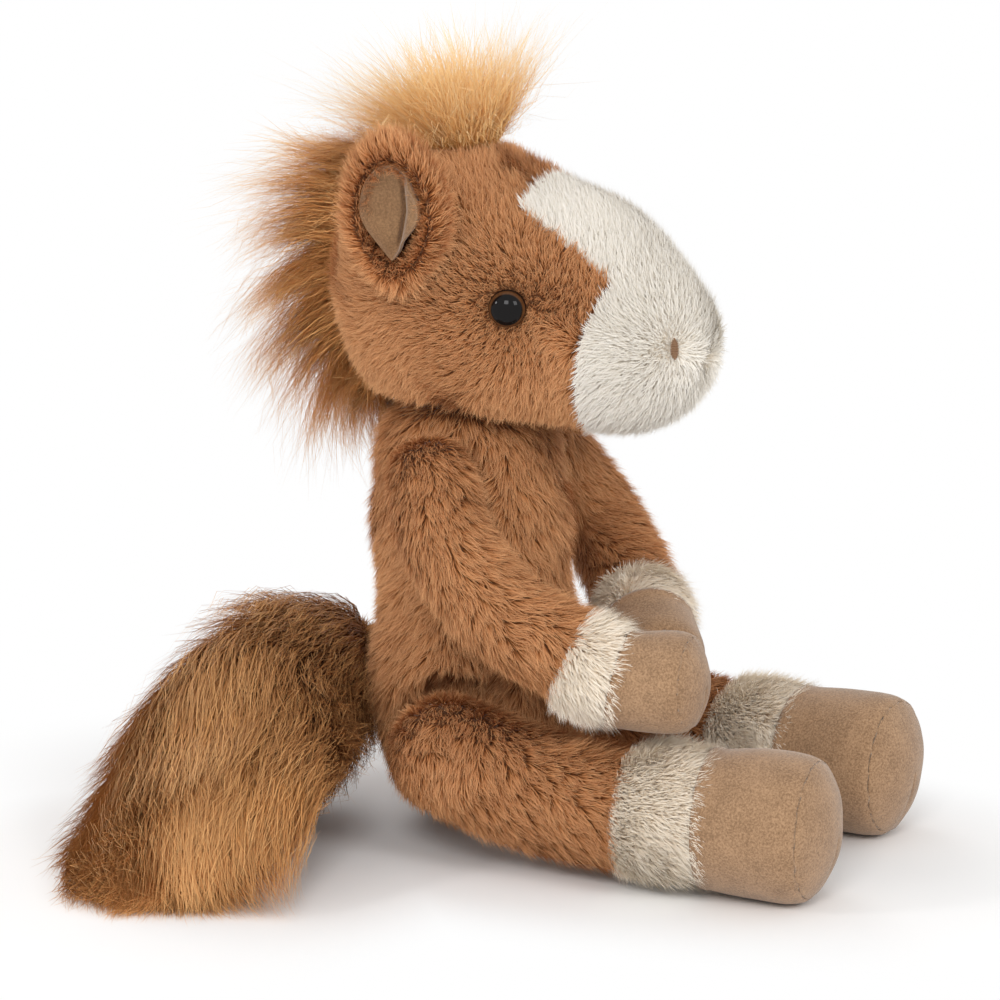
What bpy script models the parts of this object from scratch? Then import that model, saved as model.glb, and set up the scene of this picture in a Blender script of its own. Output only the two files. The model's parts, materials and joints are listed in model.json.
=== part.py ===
"""A floppy stuffed toy horse that sits on the floor with its legs stretched out in front.

Units are metres, +Z is up, the horse looks along -Y and its right side is at -X. The origin is
the middle of the flat under its seat. Every soft part is a sewn skin, whose thickness holds the
cloth and its pile, over a core of stuffing.
"""

import math

import bmesh
import bpy
import numpy as np
from mathutils import Matrix, Vector
from mathutils.bvhtree import BVHTree

MM = 0.001

# Cloth and clearances
PILE_SKIN = 6 * MM
VELOUR_SKIN = 2 * MM
SEAM_GAP = 0.3 * MM
STUFFING_GAP = 0.5 * MM
SEAT_GAP = 0.3 * MM
JOINT_GAP = 0.9 * MM
HIP_CLEARANCE = 0.4 * MM
SHOULDER_CLEARANCE = 1.6 * MM
SHOULDER_GAP = 0.7 * MM
NECK_CLEARANCE = 2.6 * MM
CUT_OVERRUN = 5 * MM

# Floor: how deep the limbs and the seat are pressed flat where they rest
FLOOR_PRESS = 0.5 * MM
SEAT_PRESS = 2.5 * MM

# Torso
BELLY_HALF_WIDTH = 38 * MM
BELLY_HALF_DEPTH = 39 * MM
BELLY_HALF_HEIGHT = 52.5 * MM
CHEST_HALF_WIDTH = 33 * MM
CHEST_HALF_DEPTH = 36 * MM
CHEST_HALF_HEIGHT = 42 * MM
CHEST_SETBACK = 3 * MM
CHEST_DROP = 20 * MM
TORSO_BLEND = 16 * MM
TORSO_RINGS = 16
BELLY_SEAM_ANGLE = 100
BELLY_SEGMENTS = 6
BACK_SEGMENTS = 4
SEAT_SEAM_ANGLE = 24
SEAT_RINGS = 2
RECESS_BLEND = 4 * MM

# Neck
NECK_PIVOT_HEIGHT = 126 * MM
NECK_PIVOT_SETBACK = 4 * MM
NECK_DOME_RADIUS = 33 * MM
NECK_BALL_RADIUS = 15 * MM
NECK_STEM_RADIUS = 8 * MM
NECK_STEM_LENGTH = 52 * MM
NECK_NOD_ANGLE = 20
BALL_STEPS = 8

# Head
CRANIUM_HALF_WIDTH = 47 * MM
CRANIUM_HALF_LENGTH = 46 * MM
CRANIUM_HALF_HEIGHT = 47 * MM
CRANIUM_RISE = 63 * MM
BROW_HALF_WIDTH = 35 * MM
BROW_HALF_LENGTH = 40 * MM
BROW_HALF_HEIGHT = 30 * MM
BROW_REACH = 33 * MM
BROW_RISE = 3 * MM
MUZZLE_HALF_WIDTH = 31 * MM
MUZZLE_HALF_LENGTH = 33 * MM
MUZZLE_HALF_HEIGHT = 31 * MM
MUZZLE_REACH = 57 * MM
MUZZLE_DROP = 17 * MM
JOWL_HALF_WIDTH = 40 * MM
JOWL_HALF_LENGTH = 47 * MM
JOWL_HALF_HEIGHT = 28 * MM
JOWL_REACH = 12 * MM
JOWL_DROP = 22 * MM
HEAD_BLEND = 12 * MM
HEAD_HUB_REACH = 12 * MM
HEAD_HUB_DROP = 4 * MM
MUZZLE_TILT = 14
MUZZLE_SEAM_ANGLE = 34
MUZZLE_RINGS = 3
BLAZE_END_ANGLE = 77
BLAZE_RINGS = 4
CROWN_RINGS = 8
BLAZE_HALF_ANGLE = 33
BRIDGE_HALF_ANGLE = 47
BLAZE_SEGMENTS = 2
CHEEK_SEGMENTS = 8

# Eyes, which are domes on a post that a washer holds behind the cloth
EYE_RADIUS = 6.2 * MM
EYE_DOME_HEIGHT = 4.6 * MM
EYE_RIM_DEPTH = 1.4 * MM
EYE_SINK = 2.6 * MM
EYE_POST_RADIUS = 1.6 * MM
EYE_POST_LENGTH = 12 * MM
EYE_SETTING_GAP = 0.4 * MM
EYE_DOME_ANGLES = (0, 18, 36, 54, 72)
EYE_TURN = 62
EYE_LIFT = 2
WASHER_RADIUS = 7 * MM
WASHER_THICKNESS = 1.4 * MM
WASHER_SETBACK = 1.8 * MM
ROUND_SEGMENTS = 20

# Nostrils, stitched in tan thread
NOSTRIL_HALF_WIDTH = 1.5 * MM
NOSTRIL_HALF_HEIGHT = 3 * MM
NOSTRIL_THICKNESS = 1.2 * MM
NOSTRIL_TURN = 36
NOSTRIL_LIFT = 4
NOSTRIL_SHARES = ((0, 0), (1, 0), (1, 0.4), (0.75, 0.8), (0, 1))
NOSTRIL_SEGMENTS = 12

# Ears: hollow leaves, whose shares are of their half width and half thickness
EAR_HALF_WIDTH = 16 * MM
EAR_HALF_HEIGHT = 25 * MM
EAR_HALF_THICKNESS = 5.5 * MM
EAR_POINT_SHARE = 0.45
EAR_HOLLOW_SHARES = ((0.0, -0.45), (0.24, -0.4), (0.44, -0.2), (0.58, 0.2))
EAR_BACK_SHARES = ((0.68, 0.7), (0.79, 1.0), (0.91, 0.82), (1.0, 0.12), (0.95, -0.5), (0.72, -0.85),
                   (0.38, -1.0), (0.0, -1.0))
EAR_HINGE_RISE = 4 * MM
EAR_GAP = 0.12 * MM
EAR_TURN = 106
EAR_LIFT = 9
EAR_FACING = 80
EAR_LEAN_OUT = 6
RIGHT_EAR_LEAN_BACK = 0
LEFT_EAR_LEAN_BACK = 50
EAR_SEGMENTS = 20
LINING_THICKNESS = 1.6 * MM
LINING_INSET_SHARE = 0.04
LINING_RINGS = 4

# Mane, a crest of long pile down the back of the head
MANE_START_ANGLE = 58
MANE_END_ANGLE = -40
MANE_STEPS = 16
MANE_HALF_WIDTH = 9 * MM
MANE_TIP_HALF_WIDTH = 7 * MM
MANE_HEIGHT = 46 * MM
MANE_SWEEP = 20 * MM
MANE_RISE_SHARES = (0.16, 0.42, 0.66, 0.84, 0.95, 1.0, 1.0, 0.98, 0.96, 0.94, 0.92,
                    0.9, 0.86, 0.8, 0.7, 0.54, 0.32)
MANE_SECTION_SHARES = ((-1, 0), (-1, 0.3), (-0.62, 0.72), (0, 1), (0.62, 0.72), (1, 0.3), (1, 0))

# Forelock, a tuft of long pile on top of the head
FORELOCK_ANGLE = 73
FORELOCK_HEIGHT = 36 * MM
FORELOCK_SWEEP = 12 * MM
FORELOCK_RADIUS = 20 * MM
FORELOCK_STANDOFF = 0.6 * MM
FORELOCK_SHARES = ((0.0, 0.34), (0.12, 0.52), (0.35, 0.82), (0.62, 1.0), (0.82, 0.84), (0.95, 0.44))
FORELOCK_SEGMENTS = 12

# Limbs: shared
LIMB_SEGMENTS = 12
CAP_RINGS = 3
SPINE_SAMPLES = 240
UPPER_SHARES = (0.24, 0.5, 0.75)
CUFF_SHARES = (0.0, 0.5)
HOOF_SHARES = (0.0, 0.35, 0.7)
SOLE_SEAM_SHARE = 0.93

# Arms, the front legs of the horse
SHOULDER_RISE = 2 * MM
SHOULDER_SETBACK = 2 * MM
SHOULDER_STANDOFF = 8 * MM
ARM_RADIUS = 16.5 * MM
ARM_CUFF_RADIUS = 18.5 * MM
ARM_HOOF_RADIUS = 17 * MM
ARM_LENGTH = 127 * MM
ARM_CUFF_LENGTH = 20 * MM
ARM_HOOF_LENGTH = 25 * MM
ARM_SOLE_DEPTH = 5 * MM
RIGHT_ARM_REACH = 104 * MM
RIGHT_ARM_REST_HEIGHT = 59 * MM
RIGHT_ARM_SPREAD = 12 * MM
RIGHT_ARM_SHARES = ((0.0, 0.0, 0.0), (0.10, 0.26, 0.7), (0.29, 0.57, 0.9), (0.52, 0.76, 0.5),
                    (0.68, 0.86, 0.2), (0.86, 0.94, 0.0), (1.0, 1.0, -0.1))
LEFT_ARM_REACH = 66 * MM
LEFT_ARM_REST_HEIGHT = 55 * MM
LEFT_ARM_SPREAD = 20 * MM
LEFT_ARM_SHARES = ((0.0, 0.0, 0.0), (0.08, 0.2, 0.6), (0.26, 0.46, 0.9), (0.52, 0.72, 0.4),
                   (0.78, 0.9, -0.8), (1.0, 1.0, -1.9))
ARM_AXIS_TILT = 32

# Legs, the hind legs of the horse
SEAT_CHANNEL_HALF_WIDTH = 24 * MM
HIP_HEIGHT = 36 * MM
HIP_REACH = 10 * MM
LEG_RADIUS = 21.5 * MM
LEG_CUFF_RADIUS = 23.5 * MM
LEG_HOOF_RADIUS = 25 * MM
LEG_LENGTH = 138 * MM
LEG_CUFF_LENGTH = 30 * MM
LEG_HOOF_LENGTH = 36 * MM
LEG_SOLE_DEPTH = 8 * MM
LEG_INWARD = 8 * MM
LAP_GAP = 2.4 * MM
LEG_SHARES = ((0.0, 0.0, 0.0), (0.22, 0.68, 0.0), (0.45, 0.98, 0.26), (0.7, 1.0, 0.66),
              (1.0, 1.0, 1.0))

# Tail, a core of folded plush in a brush of long pile that lies on the floor
TAIL_ROOT_HEIGHT = 52 * MM
TAIL_ROOT_RADIUS = 9.5 * MM
TAIL_CORE_RADIUS = 6 * MM
TAIL_CORE_LENGTH = 66 * MM
TAIL_CORE_STEPS = 4
TAIL_FUR_START = 5.5 * MM
TAIL_HALF_WIDTH = 48 * MM
TAIL_HALF_HEIGHT = 33 * MM
TAIL_REACH = 15 * MM
TAIL_SIDEWAYS = 136 * MM
TAIL_SHARES = ((0.0, 0.0, 0.0), (0.46, 0.06, 0.04), (1.0, 0.22, 0.3), (1.0, 0.48, 0.62),
               (0.4, 0.76, 0.88), (-0.6, 1.0, 1.0))
TAIL_FORM_SHARES = ((0.0, 0.28, 0.42), (0.13, 0.56, 0.82), (0.32, 0.8, 1.0), (0.5, 0.94, 0.82),
                    (0.68, 1.0, 0.6), (0.84, 0.94, 0.42), (0.96, 0.7, 0.32))
TAIL_SEGMENTS = 14
TAIL_LIFT_TURN = 68

# Colours
COLOURS = {
    "brown_plush": (0.44, 0.19, 0.075),
    "cream_plush": (0.84, 0.76, 0.65),
    "tan_velour": (0.44, 0.29, 0.16),
    "ear_velour": (0.30, 0.21, 0.10),
    "long_pile": (0.55, 0.28, 0.11),
    "stuffing": (0.85, 0.85, 0.83),
    "black_plastic": (0.012, 0.009, 0.008),
    "white_plastic": (0.7, 0.7, 0.68),
    "tan_thread": (0.36, 0.21, 0.11),
}
ROUGHNESS = {"black_plastic": 0.08, "white_plastic": 0.4}
CLOTH_ROUGHNESS = 0.9

# Working values
SIDES = ((-1, "right"), (1, "left"))
CREASE_ANGLE = 50
MERGE_DISTANCE = 0.00001
BISECTION_STEPS = 40
SMALL = 1e-9


# Fields: signed distances whose zero surface is the outside of a stuffed form

def ellipsoid(points, centre, halves):
    offset = points - np.array(centre)
    halves = np.array(halves)
    scaled = np.linalg.norm(offset / halves, axis=-1)
    slope = np.linalg.norm(offset / halves ** 2, axis=-1) + SMALL
    return scaled * (scaled - 1) / slope


def sphere(points, centre, radius):
    return np.linalg.norm(points - np.array(centre), axis=-1) - radius


def blend_union(first, second, width):
    share = np.clip(0.5 + 0.5 * (second - first) / width, 0, 1)
    return second + (first - second) * share - width * share * (1 - share)


def blend_cut(form, cutter, width):
    return -blend_union(-form, cutter, width)


def neck_pivot():
    return np.array((0, NECK_PIVOT_SETBACK, NECK_PIVOT_HEIGHT))


def chest_height():
    """How high the middle of the chest is."""
    return NECK_PIVOT_HEIGHT - CHEST_DROP


def torso_body(points):
    """The torso with nothing pressed into it."""
    belly_centre = (0, 0, BELLY_HALF_HEIGHT - SEAT_PRESS)
    belly = ellipsoid(points, belly_centre, (BELLY_HALF_WIDTH, BELLY_HALF_DEPTH, BELLY_HALF_HEIGHT))
    chest = ellipsoid(points, (0, CHEST_SETBACK, chest_height()),
                      (CHEST_HALF_WIDTH, CHEST_HALF_DEPTH, CHEST_HALF_HEIGHT))
    dome = sphere(points, neck_pivot(), NECK_DOME_RADIUS)
    return np.minimum(blend_union(belly, chest, TORSO_BLEND), dome)


def torso_half_width(height):
    """Half the torso's width at a height, in the plane through its middle."""
    low, high = 0.0, BELLY_HALF_WIDTH + CHEST_HALF_WIDTH
    for _ in range(BISECTION_STEPS):
        middle = (low + high) / 2
        inside = torso_body(np.array((middle, 0, height))) < 0
        low, high = (middle, high) if inside else (low, middle)
    return low


def shoulder(side):
    height = NECK_PIVOT_HEIGHT + SHOULDER_RISE
    return np.array((side * (torso_half_width(height) + SHOULDER_STANDOFF), -SHOULDER_SETBACK,
                     height))


def hip(side):
    return np.array((side * (SEAT_CHANNEL_HALF_WIDTH + HIP_CLEARANCE + LEG_RADIUS),
                     -HIP_REACH, HIP_HEIGHT))


def thigh_channel(points):
    """The room that both thighs need, from stretched out in front to hanging down."""
    past_side = SEAT_CHANNEL_HALF_WIDTH - np.abs(points[..., 0])
    offset = points[..., 1:] - hip(1)[1:]
    corner = np.linalg.norm(np.maximum(offset, 0), axis=-1)
    quadrant = corner + np.minimum(offset.max(axis=-1), 0) - LEG_RADIUS - JOINT_GAP
    return np.maximum(past_side, quadrant)


def torso_field(points):
    form = blend_cut(torso_body(points), thigh_channel(points), RECESS_BLEND)
    for side in (-1, 1):
        ball = sphere(points, shoulder(side), ARM_RADIUS + SHOULDER_CLEARANCE)
        form = blend_cut(form, ball, RECESS_BLEND)
    return form


def cranium_centre():
    return neck_pivot() + np.array((0, 0, CRANIUM_RISE))


def head_body(points):
    """The head with nothing pressed into it."""
    cranium = ellipsoid(points, cranium_centre(),
                        (CRANIUM_HALF_WIDTH, CRANIUM_HALF_LENGTH, CRANIUM_HALF_HEIGHT))
    brow_centre = cranium_centre() + np.array((0, -BROW_REACH, BROW_RISE))
    brow = ellipsoid(points, brow_centre, (BROW_HALF_WIDTH, BROW_HALF_LENGTH, BROW_HALF_HEIGHT))
    muzzle_centre = cranium_centre() + np.array((0, -MUZZLE_REACH, -MUZZLE_DROP))
    muzzle = ellipsoid(points, muzzle_centre,
                       (MUZZLE_HALF_WIDTH, MUZZLE_HALF_LENGTH, MUZZLE_HALF_HEIGHT))
    jowl_centre = cranium_centre() + np.array((0, -JOWL_REACH, -JOWL_DROP))
    jowl = ellipsoid(points, jowl_centre, (JOWL_HALF_WIDTH, JOWL_HALF_LENGTH, JOWL_HALF_HEIGHT))
    form = cranium
    for lobe in (brow, jowl, muzzle):
        form = blend_union(form, lobe, HEAD_BLEND)
    return form


def head_field(points):
    socket = sphere(points, neck_pivot(), NECK_DOME_RADIUS + NECK_CLEARANCE)
    return blend_cut(head_body(points), socket, RECESS_BLEND)


def head_hub():
    return cranium_centre() + np.array((0, -HEAD_HUB_REACH, -HEAD_HUB_DROP))


def reach(field, hub, directions, depth=0.0):
    """Points along directions from a hub where the field has the value -depth."""
    low = np.zeros(directions.shape[:-1])
    high = np.full(directions.shape[:-1], CRANIUM_HALF_LENGTH + BELLY_HALF_HEIGHT + MUZZLE_REACH)
    for _ in range(BISECTION_STEPS):
        middle = (low + high) / 2
        inside = field(hub + directions * middle[..., None]) < -depth
        low, high = np.where(inside, middle, low), np.where(inside, high, middle)
    return hub + directions * low[..., None]


def outward(field, point):
    """The direction in which the field grows fastest at a point."""
    step = SEAM_GAP
    moves = np.eye(3) * step
    slope = np.array([field(point + move) - field(point - move) for move in moves])
    return slope / np.linalg.norm(slope)


# Directions

def direction(turn, lift):
    """Turned from straight ahead to the right side by turn, and raised by lift, in degrees."""
    turn, lift = math.radians(turn), math.radians(lift)
    return np.array((-math.sin(turn) * math.cos(lift), -math.cos(turn) * math.cos(lift),
                     math.sin(lift)))


def mirrored(vector, side):
    return np.array((-side * vector[0], vector[1], vector[2]))


def spread(stops, counts):
    """Angles from the first stop to the last, with a count of equal steps between stops."""
    angles = [stops[0]]
    for start, end, count in zip(stops, stops[1:], counts):
        angles += [start + (end - start) * (step + 1) / count for step in range(count)]
    return np.array(angles)


# Grids: rings of points from one pole to the other. A grid is an array of rings by segments by 3

def radial_directions(polar, around, pole, zero):
    """Directions at polar angles from a pole and at angles around it from a zero direction."""
    polar, around = np.radians(polar)[:, None], np.atleast_2d(np.radians(around))
    side = np.cross(pole, zero)
    ring = (np.cos(around)[..., None] * zero + np.sin(around)[..., None] * side)
    return np.cos(polar)[..., None] * pole + np.sin(polar)[..., None] * ring


def every_cell(_ring, _segment):
    return True


def grid_faces(rings, segments, keep=every_cell):
    """Triangles of the kept cells between rings. The cells of both halves mirror each other."""
    faces = []
    for ring in range(rings - 1):
        for segment in filter(lambda place, row=ring: keep(row, place), range(segments)):
            after = (segment + 1) % segments
            a, b = (ring, segment), (ring, after)
            c, d = (ring + 1, after), (ring + 1, segment)
            pair = ((a, b, c), (a, c, d)) if 2 * segment < segments else ((a, b, d), (b, c, d))
            faces += [[merged_key(key, rings) for key in face] for face in pair]
    return [face for face in faces if len(set(face)) == len(face)]


def merged_key(key, rings):
    """The one place of all points of a pole."""
    return (key[0], 0) if key[0] in (0, rings - 1) else key


def mesh_object(name, points, faces, material):
    mesh = bpy.data.meshes.new(name)
    mesh.from_pydata([tuple(point) for point in points], [], faces)
    frame = bmesh.new()
    frame.from_mesh(mesh)
    bmesh.ops.recalc_face_normals(frame, faces=frame.faces)
    frame.to_mesh(mesh)
    frame.free()
    mesh.shade_smooth()
    mesh.set_sharp_from_angle(angle=math.radians(CREASE_ANGLE))
    piece = bpy.data.objects.new(name, mesh)
    bpy.context.collection.objects.link(piece)
    if material:
        mesh.materials.append(material)
    return piece


def closed_form(name, grid, material):
    """A closed solid from a grid whose first and last rings are poles."""
    faces = grid_faces(*grid.shape[:2])
    keys = sorted({key for face in faces for key in face})
    index = {key: number for number, key in enumerate(keys)}
    solid = [[index[key] for key in face] for face in faces]
    return mesh_object(name, [grid[key] for key in keys], solid, material)


def panel(name, outer, inner, keep, material):
    """A sewn panel: the kept cells of an outer and an inner grid, with walls at its edges."""
    faces = grid_faces(*outer.shape[:2], keep)
    edges = {(a, b) for face in faces for a, b in zip(face, face[1:] + face[:1])}
    border = sorted((a, b) for a, b in edges if (b, a) not in edges)
    keys = sorted({key for face in faces for key in face})
    index = {key: number for number, key in enumerate(keys)}
    layers = []
    for grid in (outer, inner):
        layer = {key: np.array(grid[key]) for key in keys}
        pull = {key: [] for edge in border for key in edge}
        for face in faces:
            middle = np.mean([grid[key] for key in face], axis=0)
            for key in face:
                if key in pull:
                    pull[key].append(middle)
        for key, middles in pull.items():
            inwards = np.mean(middles, axis=0) - grid[key]
            layer[key] = grid[key] + inwards / np.linalg.norm(inwards) * SEAM_GAP / 2
        layers += [layer[key] for key in keys]
    count = len(keys)
    solid = [[index[key] for key in face] for face in faces]
    solid += [[index[key] + count for key in reversed(face)] for face in faces]
    solid += [[index[b], index[a], index[a] + count, index[b] + count] for a, b in border]
    return mesh_object(name, layers, solid, material)


# Spines: smooth curves that limbs follow

def smooth_curve(points):
    """A curve through points, sampled evenly, as a Catmull-Rom spline."""
    points = [2 * points[0] - points[1], *points, 2 * points[-1] - points[-2]]
    samples = []
    spans = len(points) - 3
    for span in range(spans):
        a, b, c, d = points[span:span + 4]
        count = SPINE_SAMPLES // spans
        for step in range(count + (span == spans - 1)):
            t = step / count
            samples.append(0.5 * (2 * b + (c - a) * t + (2 * a - 5 * b + 4 * c - d) * t ** 2
                                  + (3 * b - a - 3 * c + d) * t ** 3))
    return np.array(samples)


class Spine:
    """A curve measured by its length, straight beyond both ends."""

    def __init__(self, points, side=(1, 0, 0)):
        self.points = smooth_curve(points)
        steps = np.linalg.norm(np.diff(self.points, axis=0), axis=1)
        self.lengths = np.concatenate([[0], np.cumsum(steps)])
        tangents = np.gradient(self.points, self.lengths, axis=0)
        self.tangents = tangents / np.linalg.norm(tangents, axis=1)[:, None]
        sides = [np.array(side, float)]
        for tangent in self.tangents:
            across = sides[-1] - tangent * (sides[-1] @ tangent)
            sides.append(across / np.linalg.norm(across))
        self.sides = np.array(sides[1:])

    def at(self, length):
        inside = min(max(length, 0), self.lengths[-1])
        point, tangent, side = (
            np.array([np.interp(inside, self.lengths, values[:, k]) for k in range(3)])
            for values in (self.points, self.tangents, self.sides))
        tangent /= np.linalg.norm(tangent)
        side -= tangent * (side @ tangent)
        side /= np.linalg.norm(side)
        return point + tangent * (length - inside), side, np.cross(tangent, side)


def swept(spine, profile, segments, flatness=None):
    """A grid round a spine. A profile row is a length along it and a radius there."""
    grid = []
    for row, (length, radius) in enumerate(profile):
        point, side, other = spine.at(length)
        thin = 1 if flatness is None else flatness[row]
        turns = 2 * math.pi * np.arange(segments) / segments + math.pi / 2
        ring = np.cos(turns)[:, None] * side + np.sin(turns)[:, None] * other * thin
        grid.append(point + radius * ring)
    return np.array(grid)


def inset_profile(profile, depth):
    """The profile moved in by a depth, square to itself."""
    profile = np.array(profile)
    slope = np.gradient(profile, axis=0)
    slope[0], slope[-1] = (0, 1), (0, -1)
    normals = np.stack([-slope[:, 1], slope[:, 0]], axis=1)
    normals /= np.linalg.norm(normals, axis=1)[:, None]
    moved = profile - normals * np.reshape(depth, (-1, 1))
    moved[[0, -1], 1] = 0
    return moved


def push_from_torso(points, radii, side):
    """Points moved sideways until a limb of these radii clears the torso."""
    cleared = [points[0]]
    for point, radius in zip(points[1:], radii[1:]):
        point = point.copy()
        while torso_body(point) < radius + JOINT_GAP:
            point[0] += side * SEAM_GAP
        cleared.append(point)
    return cleared


def lift_off_leg(points, radii, leg):
    """Points raised until a limb of these radii clears the leg below."""
    spine, profile, _ = leg
    lengths = np.linspace(0, profile[-1][0], SPINE_SAMPLES)
    middles = np.array([spine.at(length)[0] for length in lengths])
    around = np.interp(lengths, [row[0] for row in profile], [row[1] for row in profile])
    raised = [points[0]]
    for point, radius in zip(points[1:], radii[1:]):
        point = point.copy()
        while (np.linalg.norm(middles - point, axis=1) - around).min() < radius + LAP_GAP:
            point[2] += SEAM_GAP
        raised.append(point)
    return raised


# Limbs

def limb_profile(radius, cuff_radius, hoof_radius, length, cuff_length, hoof_length, sole_depth):
    """Rows of length and radius from the ball end to the sole, and the rows of the seams."""
    cuff = length - sole_depth - hoof_length - cuff_length
    hoof = cuff + cuff_length
    sole = hoof + hoof_length
    rows = []
    for ring in range(CAP_RINGS + 1):
        angle = math.pi / 2 * ring / CAP_RINGS
        rows.append((-radius * math.cos(angle), radius * math.sin(angle)))
    rows += [(cuff * share, radius) for share in UPPER_SHARES]
    seams = [len(rows)]
    swell = cuff_radius - radius
    rows += [(cuff + cuff_length * share, radius + swell * math.sqrt(2 * share))
             for share in CUFF_SHARES]
    seams.append(len(rows))
    narrow = (radius + hoof_radius) / 2
    for share in HOOF_SHARES:
        swell = math.sin(math.pi / 2 * share / HOOF_SHARES[-1])
        rows.append((hoof + hoof_length * share, narrow + (hoof_radius - narrow) * swell))
    seams.append(len(rows))
    for ring in range(CAP_RINGS + 1):
        angle = math.pi / 2 * ring / CAP_RINGS
        rows.append((sole + sole_depth * math.sin(angle) ** 2,
                     hoof_radius * SOLE_SEAM_SHARE * math.cos(angle)))
    return rows, seams


def arm(side):
    """The spine of an arm, the rows of its profile and the rows of its seams."""
    reach_forward, rest_height, sideways, shares = (
        (RIGHT_ARM_REACH, RIGHT_ARM_REST_HEIGHT, RIGHT_ARM_SPREAD, RIGHT_ARM_SHARES) if side < 0
        else (LEFT_ARM_REACH, LEFT_ARM_REST_HEIGHT, LEFT_ARM_SPREAD, LEFT_ARM_SHARES))
    start = shoulder(side)
    drop = start[2] - rest_height
    points = [start + np.array((side * sideways * out, -reach_forward * forward, -drop * down))
              for forward, down, out in shares]
    radii = [ARM_CUFF_RADIUS] * len(points)
    points = push_from_torso(points, radii, side)
    points = lift_off_leg(points, radii, leg(side))
    rows, seams = limb_profile(ARM_RADIUS, ARM_CUFF_RADIUS, ARM_HOOF_RADIUS, ARM_LENGTH,
                               ARM_CUFF_LENGTH, ARM_HOOF_LENGTH, ARM_SOLE_DEPTH)
    return Spine(points), rows, seams


def leg(side):
    """The spine of a leg, the rows of its profile and the rows of its seams."""
    start = hip(side)
    drop = HIP_HEIGHT - LEG_HOOF_RADIUS + FLOOR_PRESS
    points = [start + np.array((-side * LEG_INWARD * inward, -LEG_LENGTH * forward, -drop * down))
              for forward, down, inward in LEG_SHARES]
    rows, seams = limb_profile(LEG_RADIUS, LEG_CUFF_RADIUS, LEG_HOOF_RADIUS, LEG_LENGTH,
                               LEG_CUFF_LENGTH, LEG_HOOF_LENGTH, LEG_SOLE_DEPTH)
    return Spine(points), rows, seams


def press_flat(piece):
    """Cuts off what lies below the floor and closes the cut with a flat face."""
    frame = bmesh.new()
    frame.from_mesh(piece.data)
    below = any(vertex.co.z < -SMALL for vertex in frame.verts)
    if below:
        parts = frame.verts[:] + frame.edges[:] + frame.faces[:]
        cut = bmesh.ops.bisect_plane(frame, geom=parts, plane_co=(0, 0, 0), plane_no=(0, 0, 1),
                                     clear_inner=True, dist=SMALL)
        edges = [item for item in cut["geom_cut"] if isinstance(item, bmesh.types.BMEdge)]
        bmesh.ops.contextual_create(frame, geom=edges)
        bmesh.ops.recalc_face_normals(frame, faces=frame.faces)
        frame.to_mesh(piece.data)
    frame.free()


def limb(name, top_name, spine, profile, seams, materials):
    """The sewn panels of a limb and its stuffing."""
    cuff, hoof, sole = seams
    count = len(profile)
    thickness = np.array([PILE_SKIN if row < hoof else VELOUR_SKIN for row in range(count)])
    outer = swept(spine, profile, LIMB_SEGMENTS)
    inner = swept(spine, inset_profile(profile, thickness), LIMB_SEGMENTS)
    core = swept(spine, inset_profile(profile, thickness + STUFFING_GAP), LIMB_SEGMENTS)
    spans = {top_name: (0, cuff), "cuff": (cuff, hoof), "hoof": (hoof, sole),
             "sole": (sole, count - 1)}
    pieces = []
    for part_name, (first, last) in spans.items():
        material = materials["upper" if part_name == top_name else part_name]
        pieces.append(panel(f"{name}_{part_name}", outer, inner,
                            lambda ring, _, a=first, b=last: a <= ring < b, material))
    for piece in pieces:
        press_flat(piece)
    pieces.append(closed_form(f"{name}_stuffing", core, materials["stuffing"]))
    return pieces


# Turned pieces

def turned(name, profile, material, segments=ROUND_SEGMENTS):
    """A solid turned about Z. A profile row is a radius and a height, from bottom to top."""
    frame = bmesh.new()
    vertices = [frame.verts.new((radius, 0, height)) for radius, height in profile]
    edges = [frame.edges.new(pair) for pair in zip(vertices, vertices[1:])]
    if profile[0] != profile[-1] and profile[0][0] > 0:
        edges.append(frame.edges.new((vertices[-1], vertices[0])))
    bmesh.ops.spin(frame, geom=vertices + edges, cent=(0, 0, 0), axis=(0, 0, 1),
                   angle=2 * math.pi, steps=segments, use_merge=True)
    bmesh.ops.remove_doubles(frame, verts=frame.verts, dist=MERGE_DISTANCE)
    bmesh.ops.recalc_face_normals(frame, faces=frame.faces)
    mesh = bpy.data.meshes.new(name)
    frame.to_mesh(mesh)
    frame.free()
    mesh.shade_smooth()
    mesh.set_sharp_from_angle(angle=math.radians(CREASE_ANGLE))
    piece = bpy.data.objects.new(name, mesh)
    bpy.context.collection.objects.link(piece)
    if material:
        mesh.materials.append(material)
    return piece


def arc(radius, centre_height, start, end, steps):
    """Rows of radius and height along a circle about the axis, by angles from straight down."""
    rows = []
    for step in range(steps + 1):
        angle = math.radians(start + (end - start) * step / steps)
        rows.append((radius * math.sin(angle), centre_height - radius * math.cos(angle)))
    return [(0 if abs(across) < SMALL else across, height) for across, height in rows]


def stand(piece, point, axis):
    """Moves a turned piece so that its Z axis runs along axis and its origin is at point."""
    turn = Vector((0, 0, 1)).rotation_difference(Vector(axis)).to_matrix().to_4x4()
    piece.data.transform(Matrix.Translation(Vector(point)) @ turn)
    return piece


def cut(piece, cutter):
    modifier = piece.modifiers.new(cutter.name, "BOOLEAN")
    modifier.operation = "DIFFERENCE"
    modifier.solver = "EXACT"
    modifier.object = cutter


def as_cutter(piece):
    piece.hide_render = True
    piece.display_type = "WIRE"
    return piece


# The parts of the horse

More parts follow.
